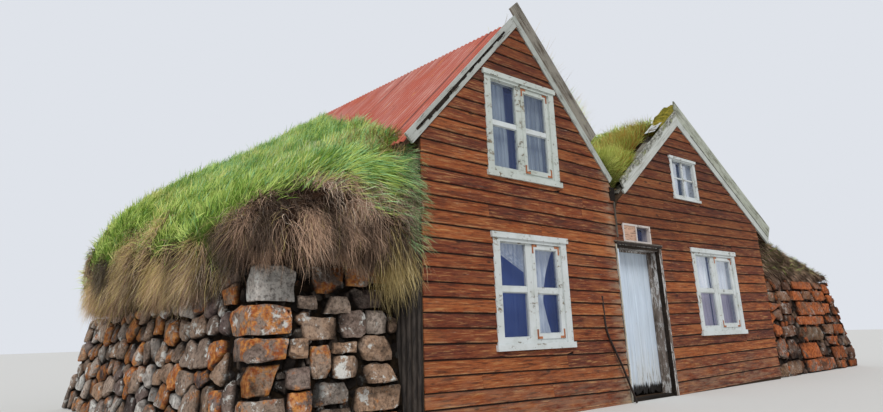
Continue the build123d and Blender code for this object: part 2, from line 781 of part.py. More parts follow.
def left_roof_turf():
    """Turf on the iron roof: nothing at the front eave, up to the ridge behind."""
    ridge_top = BIG_L.height(BIG_APEX_X, IRON_TOP)
    rear_x = LEFT_END + BANK_REAR_IN
    rear_slope = (ridge_top - BANK_REAR_HEIGHT) / (BIG_APEX_X - rear_x)
    rear_eave = BANK_REAR_HEIGHT + rear_slope * (EAVE_X - rear_x)
    seat = IRON_TOP + 2 * TURF_SEAM
    toe = EAVE_X + IRON_TURF_TOE
    peak = BIG_APEX_X - IRON_TURF_BELOW_RIDGE
    front = [
        (EAVE_X, BIG_L.height(EAVE_X, seat)),
        (toe, BIG_L.height(toe, seat)),
        (EAVE_X, BIG_L.height(EAVE_X, seat) + IRON_TURF_HIGH),
    ]
    back = [
        (EAVE_X, BIG_L.height(EAVE_X, seat)),
        (peak, BIG_L.height(peak, seat)),
        (EAVE_X, rear_eave),
    ]
    return ruled(front, FRONT + LEFT_FACE_TOE, back, ROOM_BACK)


def right_stone_wall():
    inner = SMALL_RIGHT + TURF_SEAM
    low = (inner, RIGHT_END, FRONT + RIGHT_FACE_TOE, ROOM_BACK)
    high = (inner, RIGHT_END - RIGHT_END_BATTER, FRONT + RIGHT_FACE_TOP, ROOM_BACK)
    return battered(low, high, 0, RIGHT_STONE_TOP)


SMALL_EAVE_X = SMALL_R.at(SMALL_EAVE_RUN, ROOF_LIFT)[0]


def right_turf_bank():
    inner = SMALL_RIGHT + TURF_SEAM
    base = RIGHT_STONE_TOP + TURF_SEAM
    eave_out = SMALL_EAVE_X + TURF_SEAM
    end_x = RIGHT_END - RIGHT_END_BATTER
    corners = [
        (inner, base),
        (inner, SMALL_R.height(inner, ROOF_LIFT) - TURF_SEAM),
        (eave_out, SMALL_R.height(eave_out, ROOF_LIFT) - TURF_SEAM),
        (eave_out, SMALL_R.height(eave_out, TURF_TOP)),
        (end_x + RIGHT_BANK_END_IN, RIGHT_STONE_TOP + RIGHT_BANK_END_HIGH),
        (end_x + RIGHT_BANK_END_IN / 2, base),
    ]
    return prism(corners, FRONT + RIGHT_BANK_FRONT, ROOM_BACK)


def valley_turf():
    """Turf packed in the gutter between the two roofs."""
    x0 = JOIN + TURF_SEAM
    x1 = JOIN + VALLEY_TURF_WIDE
    seat = BOARD_TOP + TURF_SEAM
    corners = [
        (x0, SMALL_L.height(x0, seat)),
        (x1, SMALL_L.height(x1, seat)),
        (x1, SMALL_L.height(x1, TURF_TOP)),
        (x0, BIG_R.height(JOIN, TURF_TOP)),
    ]
    return prism(corners, FRONT + VERGE_TURF_BACK, ROOM_BACK)


def big_roof_turf_right():
    """Turf over the right slope of the big roof, thinning to nothing at the ridge."""
    seat = BOARD_TOP + TURF_SEAM
    corners = [
        BIG_R.at(BIG_R.mitre(seat), seat),
        (JOIN, BIG_R.height(JOIN, seat)),
        (JOIN, BIG_R.height(JOIN, TURF_TOP)),
        BIG_R.at(RIDGE_TURF_RUN, TURF_TOP),
    ]
    return prism(corners, FRONT + VERGE_TURF_BACK, ROOM_BACK)


def small_roof_turf_left():
    x1 = JOIN + VALLEY_TURF_WIDE + TURF_SEAM
    seat = BOARD_TOP + TURF_SEAM
    return SMALL_L.plumb_strip(x1, seat, TURF_TOP, FRONT + SHEET_PATCH_DEEP, ROOM_BACK)


def back_stone_wall():
    low = (LEFT_END + LEFT_SIDE_TOE, RIGHT_END, ROOM_BACK, BACK_END)
    high = (LEFT_END + LEFT_SIDE_TOP, RIGHT_END - RIGHT_END_BATTER, ROOM_BACK, BACK_END - BACK_BATTER)
    return battered(low, high, 0, STONE_TOP_BACK)


def back_course_joint(z):
    """The notch between two courses of turf, all along the rear face."""
    face = BACK_END - BACK_TURF_TOP_IN
    corners = [
        Vector(LEFT_END, face + 1, z - BACK_JOINT_HIGH / 2),
        Vector(LEFT_END, face - BACK_JOINT_DEEP, z),
        Vector(LEFT_END, face + 1, z + BACK_JOINT_HIGH / 2),
    ]
    outline = Face(Wire.make_polygon(corners, close=True))
    return Solid.extrude(outline, Vector(TOTAL_WIDTH, 0, 0))


def back_turf_wall():
    """Turf gables closing the rear in courses, a little under the roofs, leaning inward."""
    base = STONE_TOP_BACK + TURF_SEAM
    ridge = BIG_L.height(BIG_APEX_X, BOARD_TOP)
    small_ridge = SMALL_L.height(SMALL_APEX_X, TURF_TOP)
    valley = BIG_R.height(JOIN, BOARD_TOP)
    eave_z = SMALL_R.height(SMALL_EAVE_X, BOARD_TOP)
    end_x = RIGHT_END - RIGHT_END_BATTER
    near = [
        (LEFT_END + LEFT_SIDE_TOP, base),
        (end_x, base),
        (end_x, base + BACK_TURF_END_HIGH),
        (SMALL_EAVE_X, eave_z),
        (SMALL_APEX_X, small_ridge),
        (JOIN, valley),
        (BIG_APEX_X, ridge),
        (LEFT_END + BANK_REAR_IN, BANK_REAR_HEIGHT - BACK_TURF_IN / 2),
        (LEFT_END + BACK_TURF_IN / 2, (BANK_REAR_HEIGHT + STONE_TOP_BACK) / 2),
    ]
    lean = BACK_TURF_LEAN
    far = [
        (LEFT_END + LEFT_SIDE_TOP + BACK_TURF_IN, base),
        (end_x - BACK_TURF_IN, base),
        (end_x - 2 * BACK_TURF_IN, base + BACK_TURF_END_HIGH / 2),
        (SMALL_EAVE_X, eave_z - lean),
        (SMALL_APEX_X, small_ridge - lean),
        (JOIN, valley - lean),
        (BIG_APEX_X, ridge - lean),
        (LEFT_END + BANK_REAR_IN + lean, BANK_REAR_HEIGHT - lean),
        (LEFT_END + (BACK_TURF_IN + lean) / 2, (BANK_REAR_HEIGHT + STONE_TOP_BACK - lean) / 2),
    ]
    wall = ruled(near, ROOM_BACK + TURF_SEAM, far, BACK_END - BACK_TURF_TOP_IN)
    for index in range(BACK_COURSES):
        wall -= back_course_joint(base + BACK_COURSE_HIGH * (index + 1))
    return wall


def leaning_bar():
    """A bent iron bar stood on the ground and leant on the boards by the door."""
    wall_gap = FRONT - BAR_RADIUS - TURF_SEAM
    ground_gap = FRONT - FRONT_REACH + BAR_RADIUS
    top = Vector(JOIN - BAR_TOP_LEFT, wall_gap, BAR_TOP)
    points = [
        top,
        Vector(JOIN - BAR_TOP_LEFT + 5, wall_gap, BAR_TOP - BAR_STRAIGHT),
        Vector(JOIN - BAR_KNEE_LEFT, FRONT - 2 * BAR_RADIUS, BAR_KNEE_HIGH),
        Vector(JOIN - BAR_SHIN_LEFT, ground_gap + 2 * BAR_RADIUS, BAR_SHIN_HIGH),
        Vector(JOIN + BAR_FOOT_RIGHT, ground_gap, BAR_RADIUS / 2),
    ]
    path = FilletPolyline(*points, radius=[300, 400, 400])
    section = Plane(origin=top, z_dir=points[1] - points[0]) * Circle(BAR_RADIUS)
    return sweep(section, path)


def big_bargeboard_left():
    """The left board, its upper end cut to the right boards that run past it."""
    past = 2 * PLANK_PAST
    board = BIG_L.strip(-past, BIG_EAVE_RUN, 0, BIG_BARGE_WIDE, FRONT - BARGE_THICK, FRONT)
    right_boards = BIG_R.strip(
        -past, past, BIG_RIGHT_BARGE_LOW, past, FRONT - BARGE_THICK - 1, FRONT + 1
    )
    return board - right_boards


def side_wall(slope, x0, x1, z0):
    """A boarded wall under a roof slope, its top cut to the roof boards."""
    corners = [(x0, z0), (x1, z0), (x1, slope.height(x1, ROOF_LIFT)), (x0, slope.height(x0, ROOF_LIFT))]
    return prism(corners, WALL_BACK, ROOM_BACK)


def model():
    beam_top = loft_levels()[0]
    loft_z0, loft_z1 = loft_levels()[1:]
    barge_front = FRONT - BARGE_THICK
    plank_front = FRONT - PLANK_THICK
    inner_left = BIG_LEFT + SIDE_WALL
    inner_right = SMALL_RIGHT - SIDE_WALL
    nodes = {
        "left_stone_wall": left_stone_wall(),
        "right_stone_wall": right_stone_wall(),
        "back_stone_wall": back_stone_wall(),
        "left_turf_bank": left_turf_bank() + left_bank_front(),
        "left_roof_turf": left_roof_turf(),
        "right_turf_bank": right_turf_bank(),
        "valley_turf": valley_turf(),
        "small_roof_turf_left": small_roof_turf_left(),
        "small_roof_turf_right": SMALL_R.plumb_strip(
            SMALL_EAVE_X, BOARD_TOP + TURF_SEAM, TURF_TOP, FRONT + VERGE_TURF_BACK, ROOM_BACK
        ),
        "big_roof_turf_right": big_roof_turf_right(),
        "back_turf_wall": back_turf_wall(),
        "big_front_wall": big_front_wall(),
        "small_front_wall": small_front_wall(),
        "small_gable_wall": small_gable_wall(),
        "door_head_wall": door_head_wall(),
        "left_side_wall": side_wall(BIG_L, BIG_LEFT, BIG_LEFT + SIDE_WALL, 0),
        "right_side_wall": side_wall(SMALL_R, SMALL_RIGHT - SIDE_WALL, SMALL_RIGHT, 0),
        "valley_wall": side_wall(BIG_R, JOIN - SIDE_WALL, JOIN, loft_z1),
        "side_iron_panel": iron_panel(),
        "big_roof_boards_left": BIG_L.plumb_strip(EAVE_X, ROOF_LIFT, BOARD_TOP, FRONT, ROOM_BACK),
        "big_roof_boards_right": BIG_R.plumb_strip(JOIN, ROOF_LIFT, BOARD_TOP, FRONT, ROOM_BACK),
        "small_roof_boards_left": SMALL_L.plumb_strip(JOIN, ROOF_LIFT, BOARD_TOP, FRONT, ROOM_BACK),
        "small_roof_boards_right": SMALL_R.plumb_strip(SMALL_EAVE_X, ROOF_LIFT, BOARD_TOP, FRONT, ROOM_BACK),
        "big_roof_iron": iron_roof(),
        "rafters": rafters(),
        "ground_floor": block(inner_left, inner_right, WALL_BACK, ROOM_BACK, 0, FLOOR_TOP),
        "loft_floor": block(inner_left, inner_right, WALL_BACK, ROOM_BACK, loft_z0, loft_z1),
        "loft_joists": loft_joists(),
        "valley_beam": block(JOIN - BEAM_WIDE, JOIN, WALL_BACK, ROOM_BACK, beam_top - BEAM_DEEP, beam_top),
        "valley_posts": valley_posts(),
        "big_bargeboard_left": big_bargeboard_left(),
        "big_bargeboard_right": BIG_R.strip(
            -BIG_RIGHT_BARGE_PAST,
            BIG_RIGHT_BARGE_RUN,
            BIG_RIGHT_BARGE_LOW,
            BIG_RIGHT_BARGE_HIGH,
            barge_front,
            FRONT,
        ),
        "big_verge_plank": BIG_R.strip(
            -PLANK_PAST, PLANK_RUN, BIG_RIGHT_BARGE_HIGH, BIG_PLANK_HIGH, plank_front, FRONT
        ),
        "small_bargeboard_left": SMALL_L.strip(
            None, SMALL_LEFT_BARGE_RUN, 0, SMALL_LEFT_BARGE_HIGH, barge_front, FRONT
        ),
        "small_bargeboard_right": SMALL_R.strip(
            None, SMALL_EAVE_RUN, 0, SMALL_RIGHT_BARGE_HIGH, barge_front, FRONT
        ),
        "small_verge_plank_left": SMALL_L.strip(
            None,
            SMALL_LEFT_BARGE_RUN - SMALL_LEFT_BARGE_HIGH,
            SMALL_LEFT_BARGE_HIGH,
            SMALL_LEFT_PLANK_HIGH,
            plank_front,
            FRONT,
        ),
        "small_verge_plank_right": SMALL_R.strip(
            None, SMALL_EAVE_RUN, SMALL_RIGHT_BARGE_HIGH, SMALL_RIGHT_PLANK_HIGH, plank_front, FRONT
        ),
        "transom_frame": transom_frame(),
        "transom_glass": transom_glass(),
        "door_frame": door_frame(),
        "door_head_strip": block(
            DOOR_X0,
            DOOR_X1 + FLASHING_PAST,
            FRONT - FLASHING_REACH,
            FRONT,
            DOOR_HEAD,
            DOOR_HEAD + FLASHING_THICK,
        ),
        "threshold": block(DOOR_X0, DOOR_X1, FRONT, WALL_BACK, 0, THRESHOLD_TOP),
        "door_leaf": door_leaf(),
        "door_straps": door_straps(),
        "door_pintles": door_pintles(),
        "leaning_bar": leaning_bar(),
    }
    glass = []
    curtains = []
    for window in WINDOWS:
        name = window[0]
        nodes[name + "_frame"] = window_frame(*window)
        nodes[name + "_sashes"] = window_sashes(*window)
        glass.extend(window_glass(*window))
        curtains.append(window_curtain(*window))
    nodes["window_glass"] = glass
    nodes["window_curtains"] = curtains
    return nodes


def save(nodes):
    os.makedirs(PARTS, exist_ok=True)
    for name, shape in nodes.items():
        if isinstance(shape, (list, tuple)):
            shape = Compound(children=list(shape))
        export_step(shape, os.path.join(PARTS, name + ".step"))


save(model())
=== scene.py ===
import bmesh
import bpy
import numpy as np
from functools import partial
from math import cos, pi, radians, sin, tan
from mathutils import Matrix, Vector, noise


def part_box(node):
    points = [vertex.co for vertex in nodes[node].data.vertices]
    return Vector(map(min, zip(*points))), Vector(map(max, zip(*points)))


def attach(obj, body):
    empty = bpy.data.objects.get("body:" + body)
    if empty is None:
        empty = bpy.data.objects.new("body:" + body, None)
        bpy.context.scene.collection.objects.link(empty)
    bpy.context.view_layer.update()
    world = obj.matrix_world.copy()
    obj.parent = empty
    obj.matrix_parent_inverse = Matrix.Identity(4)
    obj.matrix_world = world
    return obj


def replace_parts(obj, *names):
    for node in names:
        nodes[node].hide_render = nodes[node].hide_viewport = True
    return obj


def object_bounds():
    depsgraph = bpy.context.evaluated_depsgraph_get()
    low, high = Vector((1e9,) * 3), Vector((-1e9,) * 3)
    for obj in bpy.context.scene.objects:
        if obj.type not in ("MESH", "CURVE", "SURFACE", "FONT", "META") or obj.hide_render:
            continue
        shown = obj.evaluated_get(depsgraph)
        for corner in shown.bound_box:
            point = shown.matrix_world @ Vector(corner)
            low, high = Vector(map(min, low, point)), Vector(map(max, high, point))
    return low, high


# The turf house, dressed: lapped boards, windows, plank door, iron, stones and grass.
# Metres, +X right along the front, +Y into the house, +Z up, as the frame has them.

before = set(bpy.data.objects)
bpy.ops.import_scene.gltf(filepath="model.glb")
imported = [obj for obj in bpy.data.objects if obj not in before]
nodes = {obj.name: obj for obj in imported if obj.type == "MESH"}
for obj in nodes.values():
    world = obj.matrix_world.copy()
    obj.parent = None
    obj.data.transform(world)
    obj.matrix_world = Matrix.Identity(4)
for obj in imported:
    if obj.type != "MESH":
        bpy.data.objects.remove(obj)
cad_low, cad_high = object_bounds()

# Places read from the frame
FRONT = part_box("big_front_wall")[0].y
BIG_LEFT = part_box("big_front_wall")[0].x
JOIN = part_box("big_front_wall")[1].x
SMALL_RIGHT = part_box("small_gable_wall")[1].x
ROOM_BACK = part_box("ground_floor")[1].y
LEFT_END = cad_low.x
RIGHT_END = cad_high.x
BACK_END = cad_high.y
BOX_FRONT = cad_low.y

# Roof lines, as the bargeboards have them
BIG_APEX = ((BIG_LEFT + JOIN) / 2, 4.310)
BIG_PITCH = 47
SMALL_APEX = (JOIN + 1.939, 3.702)
SMALL_PITCH_LEFT = 37.4
SMALL_PITCH_RIGHT = 32.8

SEED = 7

# The roof iron's waves, as the frame has them, and the width of a sheet
IRON_PITCH = 0.076
IRON_SHEET_WIDE = 0.80


def colour(code):
    """A colour written as six sRGB hex digits, as Blender's linear one."""
    parts = [int(code[i : i + 2], 16) / 255 for i in (0, 2, 4)]
    linear = [p / 12.92 if p <= 0.04045 else ((p + 0.055) / 1.055) ** 2.4 for p in parts]
    return (*linear, 1.0)


class Finish:
    """A procedural material under way. Its places are in metres on the piece."""

    def __init__(self, name, rough=0.85, gloss=0.3):
        self.material = bpy.data.materials.new(name)
        self.material.use_nodes = True
        self.tree = self.material.node_tree
        self.shader = self.tree.nodes["Principled BSDF"]
        self.place = self.node("TexCoord").outputs["Object"]
        self.set("Roughness", rough)
        self.set("Specular IOR Level", gloss)

    def put(self, socket, value):
        if isinstance(value, bpy.types.NodeSocket):
            self.tree.links.new(value, socket)
        else:
            socket.default_value = colour(value) if isinstance(value, str) else value

    def set(self, name, value):
        self.put(self.shader.inputs[name], value)

    def node(self, kind, *inputs, **named):
        """A new node with its first inputs set in order, or any by name."""
        made = self.tree.nodes.new("ShaderNode" + kind)
        for number, value in enumerate(inputs):
            self.put(made.inputs[number], value)
        for name, value in named.items():
            self.put(made.inputs[name.replace("_", " ")], value)
        return made

    def stretched(self, x, y, z, turn=0.0):
        """Places scaled along each axis, after a turn about Y in degrees."""
        node = self.node("Mapping", Vector=self.place, Scale=(x, y, z))
        if turn:
            node.vector_type = "TEXTURE"
            node.inputs["Rotation"].default_value = (0, radians(turn), 0)
            node.inputs["Scale"].default_value = (1 / x, 1 / y, 1 / z)
        return node.outputs["Vector"]

    def noise(self, scale, detail=5.0, rough=0.55, at=None, shift=None, bend=0.0):
        node = self.node("TexNoise", Vector=at or self.place, Scale=scale, Detail=detail)
        node.inputs["Roughness"].default_value = rough
        node.inputs["Distortion"].default_value = bend
        if shift is not None:
            node.noise_dimensions = "4D"
            self.put(node.inputs["W"], shift)
        return node.outputs["Fac"]

    def cells(self, scale, at=None):
        return self.node("TexVoronoi", Vector=at or self.place, Scale=scale).outputs["Distance"]

    def mark(self, name):
        """A number that the mesh carries at each corner."""
        node = self.node("Attribute")
        node.attribute_name = name
        return node.outputs["Fac"]

    def axis(self, name):
        return self.node("SeparateXYZ", self.place).outputs[name]

    def range(self, value, low, high, to_low=0.0, to_high=1.0):
        limits = {"From_Min": low, "From_Max": high, "To_Min": to_low, "To_Max": to_high}
        return self.node("MapRange", Value=value, **limits).outputs["Result"]

    def math(self, a, b, how="MULTIPLY"):
        """One number from one or two: their product, or what else how names."""
        node = self.node("Math", a, *([] if b is None else [b]))
        node.operation = how
        return node.outputs[0]

    def mix(self, share, a, b):
        node = self.node("Mix")
        node.data_type = "RGBA"
        for socket, value in zip((0, 6, 7), (share, a, b)):
            self.put(node.inputs[socket], value)
        return node.outputs[2]

    def over(self, coat, code, value, low, high, most=1.0):
        """A coat with another colour laid over it as value goes from low to high."""
        return self.mix(self.range(value, low, high, 0.0, most), coat, code)

    def ramp(self, value, *stops):
        """Colours at given values, from (value, colour) pairs."""
        node = self.node("ValToRGB", value)
        points = node.color_ramp.elements
        while len(points) < len(stops):
            points.new(0.5)
        for point, (at, code) in zip(points, stops):
            point.position = at
            point.color = colour(code)
        return node.outputs["Color"]

    def paint(self, value):
        self.set("Base Color", value)

    def bump(self, height, depth):
        """Relief from height, over what relief there is."""
        node = self.node("Bump", Strength=1.0, Distance=depth, Height=height)
        before = self.shader.inputs["Normal"].links
        if before:
            self.put(node.inputs["Normal"], before[0].from_socket)
        self.set("Normal", node.outputs["Normal"])


# Materials


def board_finish():
    """Red brown lapped boards, each with its own tone, with painted shade under each lap and high under
    the gables.
    """
    f = Finish("wall_boards", rough=0.8, gloss=0.25)
    tone = f.mark("tone")
    shift = f.math(tone, 40.0)
    grain = f.noise(1.0, 8, 0.62, at=f.stretched(1.6, 8, 34), shift=shift, bend=0.25)
    streak = f.noise(1.0, 6, 0.72, at=f.stretched(4.4, 14, 72), shift=shift)
    patch = f.noise(1.0, 5, 0.62, at=f.stretched(1.5, 1, 3.4), shift=shift)
    wood = f.ramp(grain, (0.28, "3f1a0f"), (0.44, "702f19"), (0.57, "8e4825"), (0.75, "b87241"))
    tones = (0.0, "ad6230"), (0.3, "8e4a22"), (0.6, "73361f"), (0.85, "5a2a1f"), (1.0, "43201c")
    wood = f.mix(0.46, wood, f.ramp(tone, *tones))
    wood = f.over(wood, "2d130a", streak, 0.51, 0.61, 0.8)
    wood = f.over(wood, "cb9a62", streak, 0.46, 0.38, 0.50)
    wood = f.over(wood, "b4713f", patch, 0.54, 0.72, 0.5)
    wood = f.over(wood, "371a17", patch, 0.46, 0.30, 0.65)
    knots = f.cells(1.0, at=f.stretched(2.1, 0.4, 5.2))
    wood = f.over(wood, "23100a", knots, 0.10, 0.05, 0.75)
    scratches = f.noise(1.0, 6, 0.75, at=f.stretched(5.5, 20, 130), shift=shift)
    worn = f.noise(1.0, 6, 0.7, at=f.stretched(4, 10, 22), shift=shift)
    pale = f.math(f.range(scratches, 0.60, 0.68), f.range(worn, 0.42, 0.58))
    wood = f.mix(f.math(pale, 0.8), wood, "cdb59c")
    wood = f.mix(f.math(f.mark("grey"), f.range(worn, 0.39, 0.56)), wood, "a08b74")
    lap = f.mark("lap")
    # Painted shade: a dark line under the butt of the board above, where its shadow falls.
    wood = f.over(wood, "0d0604", lap, 0.84, 0.92, 0.95)
    # Lighter in patches near each board's foot: worn wood, with a painted highlight along the butt edge.
    edge = f.math(f.range(lap, 0.08, 0.03, 0.0, 0.45), f.range(worn, 0.48, 0.60))
    wood = f.mix(edge, wood, "c4996e")
    # Painted shade high under the gables.
    wood = f.mix(f.math(f.mark("dim"), 0.5), wood, "1c0c08")
    f.paint(wood)
    f.bump(grain, 0.005)
    f.bump(streak, 0.002)
    return f.material


def painted_wood(name, base, under, wear, turn=0.0, dirt="6f6c60", stretch=(26, 26, 3)):
    """Old paint on boards: flaked to the wood in places, dirty along the grain."""
    f = Finish(name, rough=0.62, gloss=0.35)
    x, y, z = stretch
    grain = f.noise(1.0, 7, 0.65, at=f.stretched(x, y, z, turn))
    broad = f.noise(3.2, 5, 0.6)
    flakes = f.noise(1.0, 9, 0.75, at=f.stretched(x * 1.6, y * 1.6, z * 2.6, turn), bend=0.3)
    tint = f.mix(f.range(broad, 0.35, 0.7), base, dirt)
    coat = f.mix(0.35, base, tint)
    coat = f.over(coat, dirt, grain, 0.52, 0.78, 0.45)
    bare = f.mix(f.range(grain, 0.35, 0.65), under, "3d342b")
    gone = f.range(f.math(flakes, f.range(broad, 0.3, 0.7, -0.06, 0.06), "ADD"), wear, wear + 0.035)
    f.paint(f.mix(gone, coat, bare))
    f.set("Roughness", f.range(gone, 0, 1, 0.55, 0.9))
    f.bump(f.math(gone, -1.0), 0.0012)
    f.bump(grain, 0.0015)
    return f.material


def verge_finish():
    """The small gable's left plank: pale below, and mossy weathered grey along its upper half."""
    f = Finish("verge_plank_small", rough=0.7, gloss=0.3)
    grain = f.noise(1.0, 7, 0.65, at=f.stretched(2, 30, 26, -SMALL_PITCH_LEFT))
    turn = radians(SMALL_PITCH_LEFT)
    x, z = f.math(f.axis("X"), -sin(turn)), f.math(f.axis("Z"), cos(turn))
    level = SMALL_APEX[0] * sin(turn) - SMALL_APEX[1] * cos(turn)
    lift = f.math(f.math(x, z, "ADD"), level, "ADD")
    ragged = f.math(lift, f.range(f.noise(5, 6), 0.3, 0.7, -0.03, 0.03), "ADD")
    pale = f.mix(f.range(grain, 0.45, 0.7), "c4c6c0", "8f9086")
    chips = f.noise(1.0, 8, 0.75, at=f.stretched(16, 30, 34, -SMALL_PITCH_LEFT))
    grey = f.ramp(chips, (0.38, "3f3d36"), (0.5, "84847a"), (0.62, "c4c4bb"))
    grey = f.over(grey, "7d8248", f.noise(6, 5, shift=2.0), 0.52, 0.64, 0.7)
    f.paint(f.mix(f.range(ragged, 0.105, 0.125), pale, grey))
    f.bump(grain, 0.0015)
    return f.material


def door_finish():
    """Pale blue door paint, stained towards the foot and rotted black along its bottom."""
    f = Finish("door_paint", rough=0.6, gloss=0.35)
    along = f.noise(1.0, 7, 0.65, at=f.stretched(30, 30, 2.0))
    broad = f.noise(2.4, 4)
    coat = f.mix(f.range(along, 0.35, 0.70), "d3dfec", "b9c6d3")
    coat = f.over(coat, "c6cdd2", broad, 0.45, 0.7, 0.35)
    flakes = f.noise(1.0, 9, 0.75, at=f.stretched(44, 44, 5.0), bend=0.3)
    coat = f.over(coat, "867f7a", flakes, 0.64, 0.68, 0.8)
    foot = f.range(f.axis("Z"), 0.75, 0.10)
    stains = f.noise(1.0, 7, 0.7, at=f.stretched(22, 22, 2.6))
    stained = f.math(foot, f.range(stains, 0.40, 0.62))
    coat = f.mix(f.math(stained, 0.62), coat, "c9bfa9")
    rust = f.math(f.range(f.axis("Z"), 0.60, 0.20), f.range(stains, 0.57, 0.66))
    coat = f.mix(rust, coat, "5c5754")
    ragged = f.math(f.noise(1.0, 6, 0.7, at=f.stretched(30, 30, 9)), 0.20)
    rot = f.range(f.math(f.axis("Z"), ragged, "SUBTRACT"), 0.075, 0.03)
    f.paint(f.mix(rot, coat, "17120e"))
    f.bump(along, 0.0012)
    f.bump(f.math(flakes, -1.0), 0.0008)
    return f.material


def rough_wood(name, light, dark, turn=0.0, stretch=(2, 26, 26)):
    f = Finish(name, rough=0.9, gloss=0.15)
    grain = f.noise(1.0, 8, 0.65, at=f.stretched(*stretch, turn))
    broad = f.noise(1.3, 4)
    f.paint(f.mix(f.range(broad, 0.35, 0.7), f.ramp(grain, (0.3, dark), (0.7, light)), dark))
    f.bump(grain, 0.004)
    return f.material


FIELD_STONE = ("8f8177", "a6917f", "bdb4aa", "6c5f5a")
LICHEN = ("a4501f", "e39a50")


def stone_finish(name, orange, base=FIELD_STONE, rusts=LICHEN, white=0.92):
    """Field stone: each with its own tone, spotted with orange, white and yellow lichen, and with painted
    shade where it lies deep in the wall.
    """
    f = Finish(name, rough=0.93, gloss=0.12)
    grain = f.noise(30, 8, 0.72)
    mottle = f.noise(6.0, 6, 0.68)
    rock = f.ramp(f.mark("tone"), (0.05, base[3]), (0.35, base[0]), (0.65, base[1]), (0.95, base[2]))
    rock = f.over(rock, "a89a8e", mottle, 0.46, 0.62, 0.5)
    rock = f.over(rock, "4b4039", mottle, 0.50, 0.36, 0.7)
    rock = f.over(rock, "352c27", grain, 0.48, 0.62, 0.66)
    pits = f.cells(48)
    rock = f.over(rock, "221c19", pits, 0.24, 0.05, 0.6)
    pale = f.noise(7.0, 9, 0.74, shift=3.1)
    rock = f.over(rock, "e4e3dc", pale, 0.555, 0.58, white)
    warm = f.noise(8.0, 10, 0.76, shift=8.4)
    spread = f.math(warm, f.range(f.mark("lichen"), 0.0, 1.0, -0.12, orange), "ADD")
    rust = f.mix(f.range(f.noise(26, 5), 0.38, 0.62), *rusts)
    rock = f.over(rock, rust, spread, 0.54, 0.61, 0.88)
    # Painted shade: parts set deep behind the wall's face turn near black.
    rock = f.over(rock, "0d0907", f.mark("deep"), -0.014, -0.055, 0.95)
    f.paint(rock)
    f.bump(f.noise(14, 10, 0.75), 0.030)
    f.bump(pits, -0.005)
    return f.material


def earth_finish(name, light, dark):
    f = Finish(name, rough=1.0, gloss=0.05)
    clods = f.noise(14, 8, 0.7)
    f.paint(f.ramp(clods, (0.35, dark), (0.62, light)))
    f.bump(clods, 0.03)
    return f.material


def turf_finish(name, *stops):
    """Matted grass seen between the blades, dark where its bare mark says: dark earth, with painted shade
    under the hanging grass and along the turf's front.
    """
    f = Finish(name, rough=1.0, gloss=0.05)
    mat = f.noise(1.0, 8, 0.7, at=f.stretched(9, 9, 30))
    broad = f.noise(1.6, 4)
    turf = f.mix(f.range(broad, 0.3, 0.7, 0.0, 0.6), f.ramp(mat, *stops), stops[0][1])
    # The bare mark: dark earth and painted shade.
    f.paint(f.mix(f.mark("bare"), turf, f.ramp(mat, (0.35, "0d0907"), (0.65, "3b2a1f"))))
    f.bump(mat, 0.02)
    return f.material


def blade_finish(name, roots, low, high, dry):
    """Grass blades: dark at the root, paler at the tip, some of them dry."""
    f = Finish(name, rough=0.7, gloss=0.25)
    # along also carries painted shade: grass() lowers it on shaded blades, turning them toward the root
    # colour.
    along = f.mark("along")
    leaf = f.mix(f.range(f.mark("tone"), 0.1, 0.9), low, high)
    leaf = f.over(leaf, dry, f.mark("dry"), 0.55, 0.8)
    leaf = f.over(leaf, roots, along, 0.35, 0.0, 0.85)
    leaf = f.over(leaf, dry, along, 0.75, 1.0, 0.4)
    f.paint(leaf)
    return f.material


def red_iron_finish():
    """Faded red paint on corrugated iron: painted shade in the hollows, dark laps, rust and pale wear down
    the slope.
    """
    f = Finish("roof_iron", rough=0.7, gloss=0.3)
    streak = f.noise(1.0, 7, 0.65, at=f.stretched(1.3, 16, 1.3, BIG_PITCH))
    broad = f.noise(1.1, 5, 0.6)
    paint = f.ramp(streak, (0.3, "a55547"), (0.5, "bf786b"), (0.7, "d6a89c"))
    paint = f.over(paint, "b9543c", broad, 0.42, 0.62, 0.75)
    paint = f.over(paint, "bf5136", f.axis("Y"), -1.2, -2.7, 0.5)
    rust = f.noise(1.0, 8, 0.72, at=f.stretched(2.4, 22, 2.4, BIG_PITCH))
    paint = f.over(paint, "c8733c", rust, 0.57, 0.66, 0.85)
    paint = f.over(paint, "6a2a20", rust, 0.38, 0.30, 0.75)
    scratch = f.noise(1.0, 8, 0.8, at=f.stretched(3.5, 60, 3.5, BIG_PITCH))
    near = f.range(f.axis("Y"), 0.5, -2.5, 0.2, 0.85)
    paint = f.mix(f.math(f.range(scratch, 0.62, 0.67), near), paint, "e6d2c4")
    # Painted shade in the hollows of the corrugations.
    wave = f.math(f.math(f.axis("Y"), 2 * pi / IRON_PITCH), None, "SINE")
    paint = f.over(paint, "57231a", wave, 0.2, 1.0, 0.42)
    lap = f.math(f.math(f.axis("Y"), IRON_SHEET_WIDE, "DIVIDE"), None, "FRACT")
    ragged = f.math(f.range(f.noise(3.0, 5), 0.3, 0.7, -0.012, 0.012), lap, "ADD")
    line = f.math(f.range(ragged, 0.035, 0.02), f.range(ragged, -0.01, 0.005))
    paint = f.mix(f.math(line, 0.8), paint, "2a1511")
    f.paint(paint)
    f.bump(f.noise(60, 4), 0.002)
    return f.material


def dark_iron_finish(name, base, rust):
    f = Finish(name, rough=0.75, gloss=0.35)
    spots = f.noise(1.0, 8, 0.7, at=f.stretched(30, 30, 5))
    # Spots of the second colour: rust, and on the side panel painted highlights.
    f.paint(f.ramp(spots, (0.38, base), (0.62, rust)))
    f.bump(spots, 0.002)
    return f.material


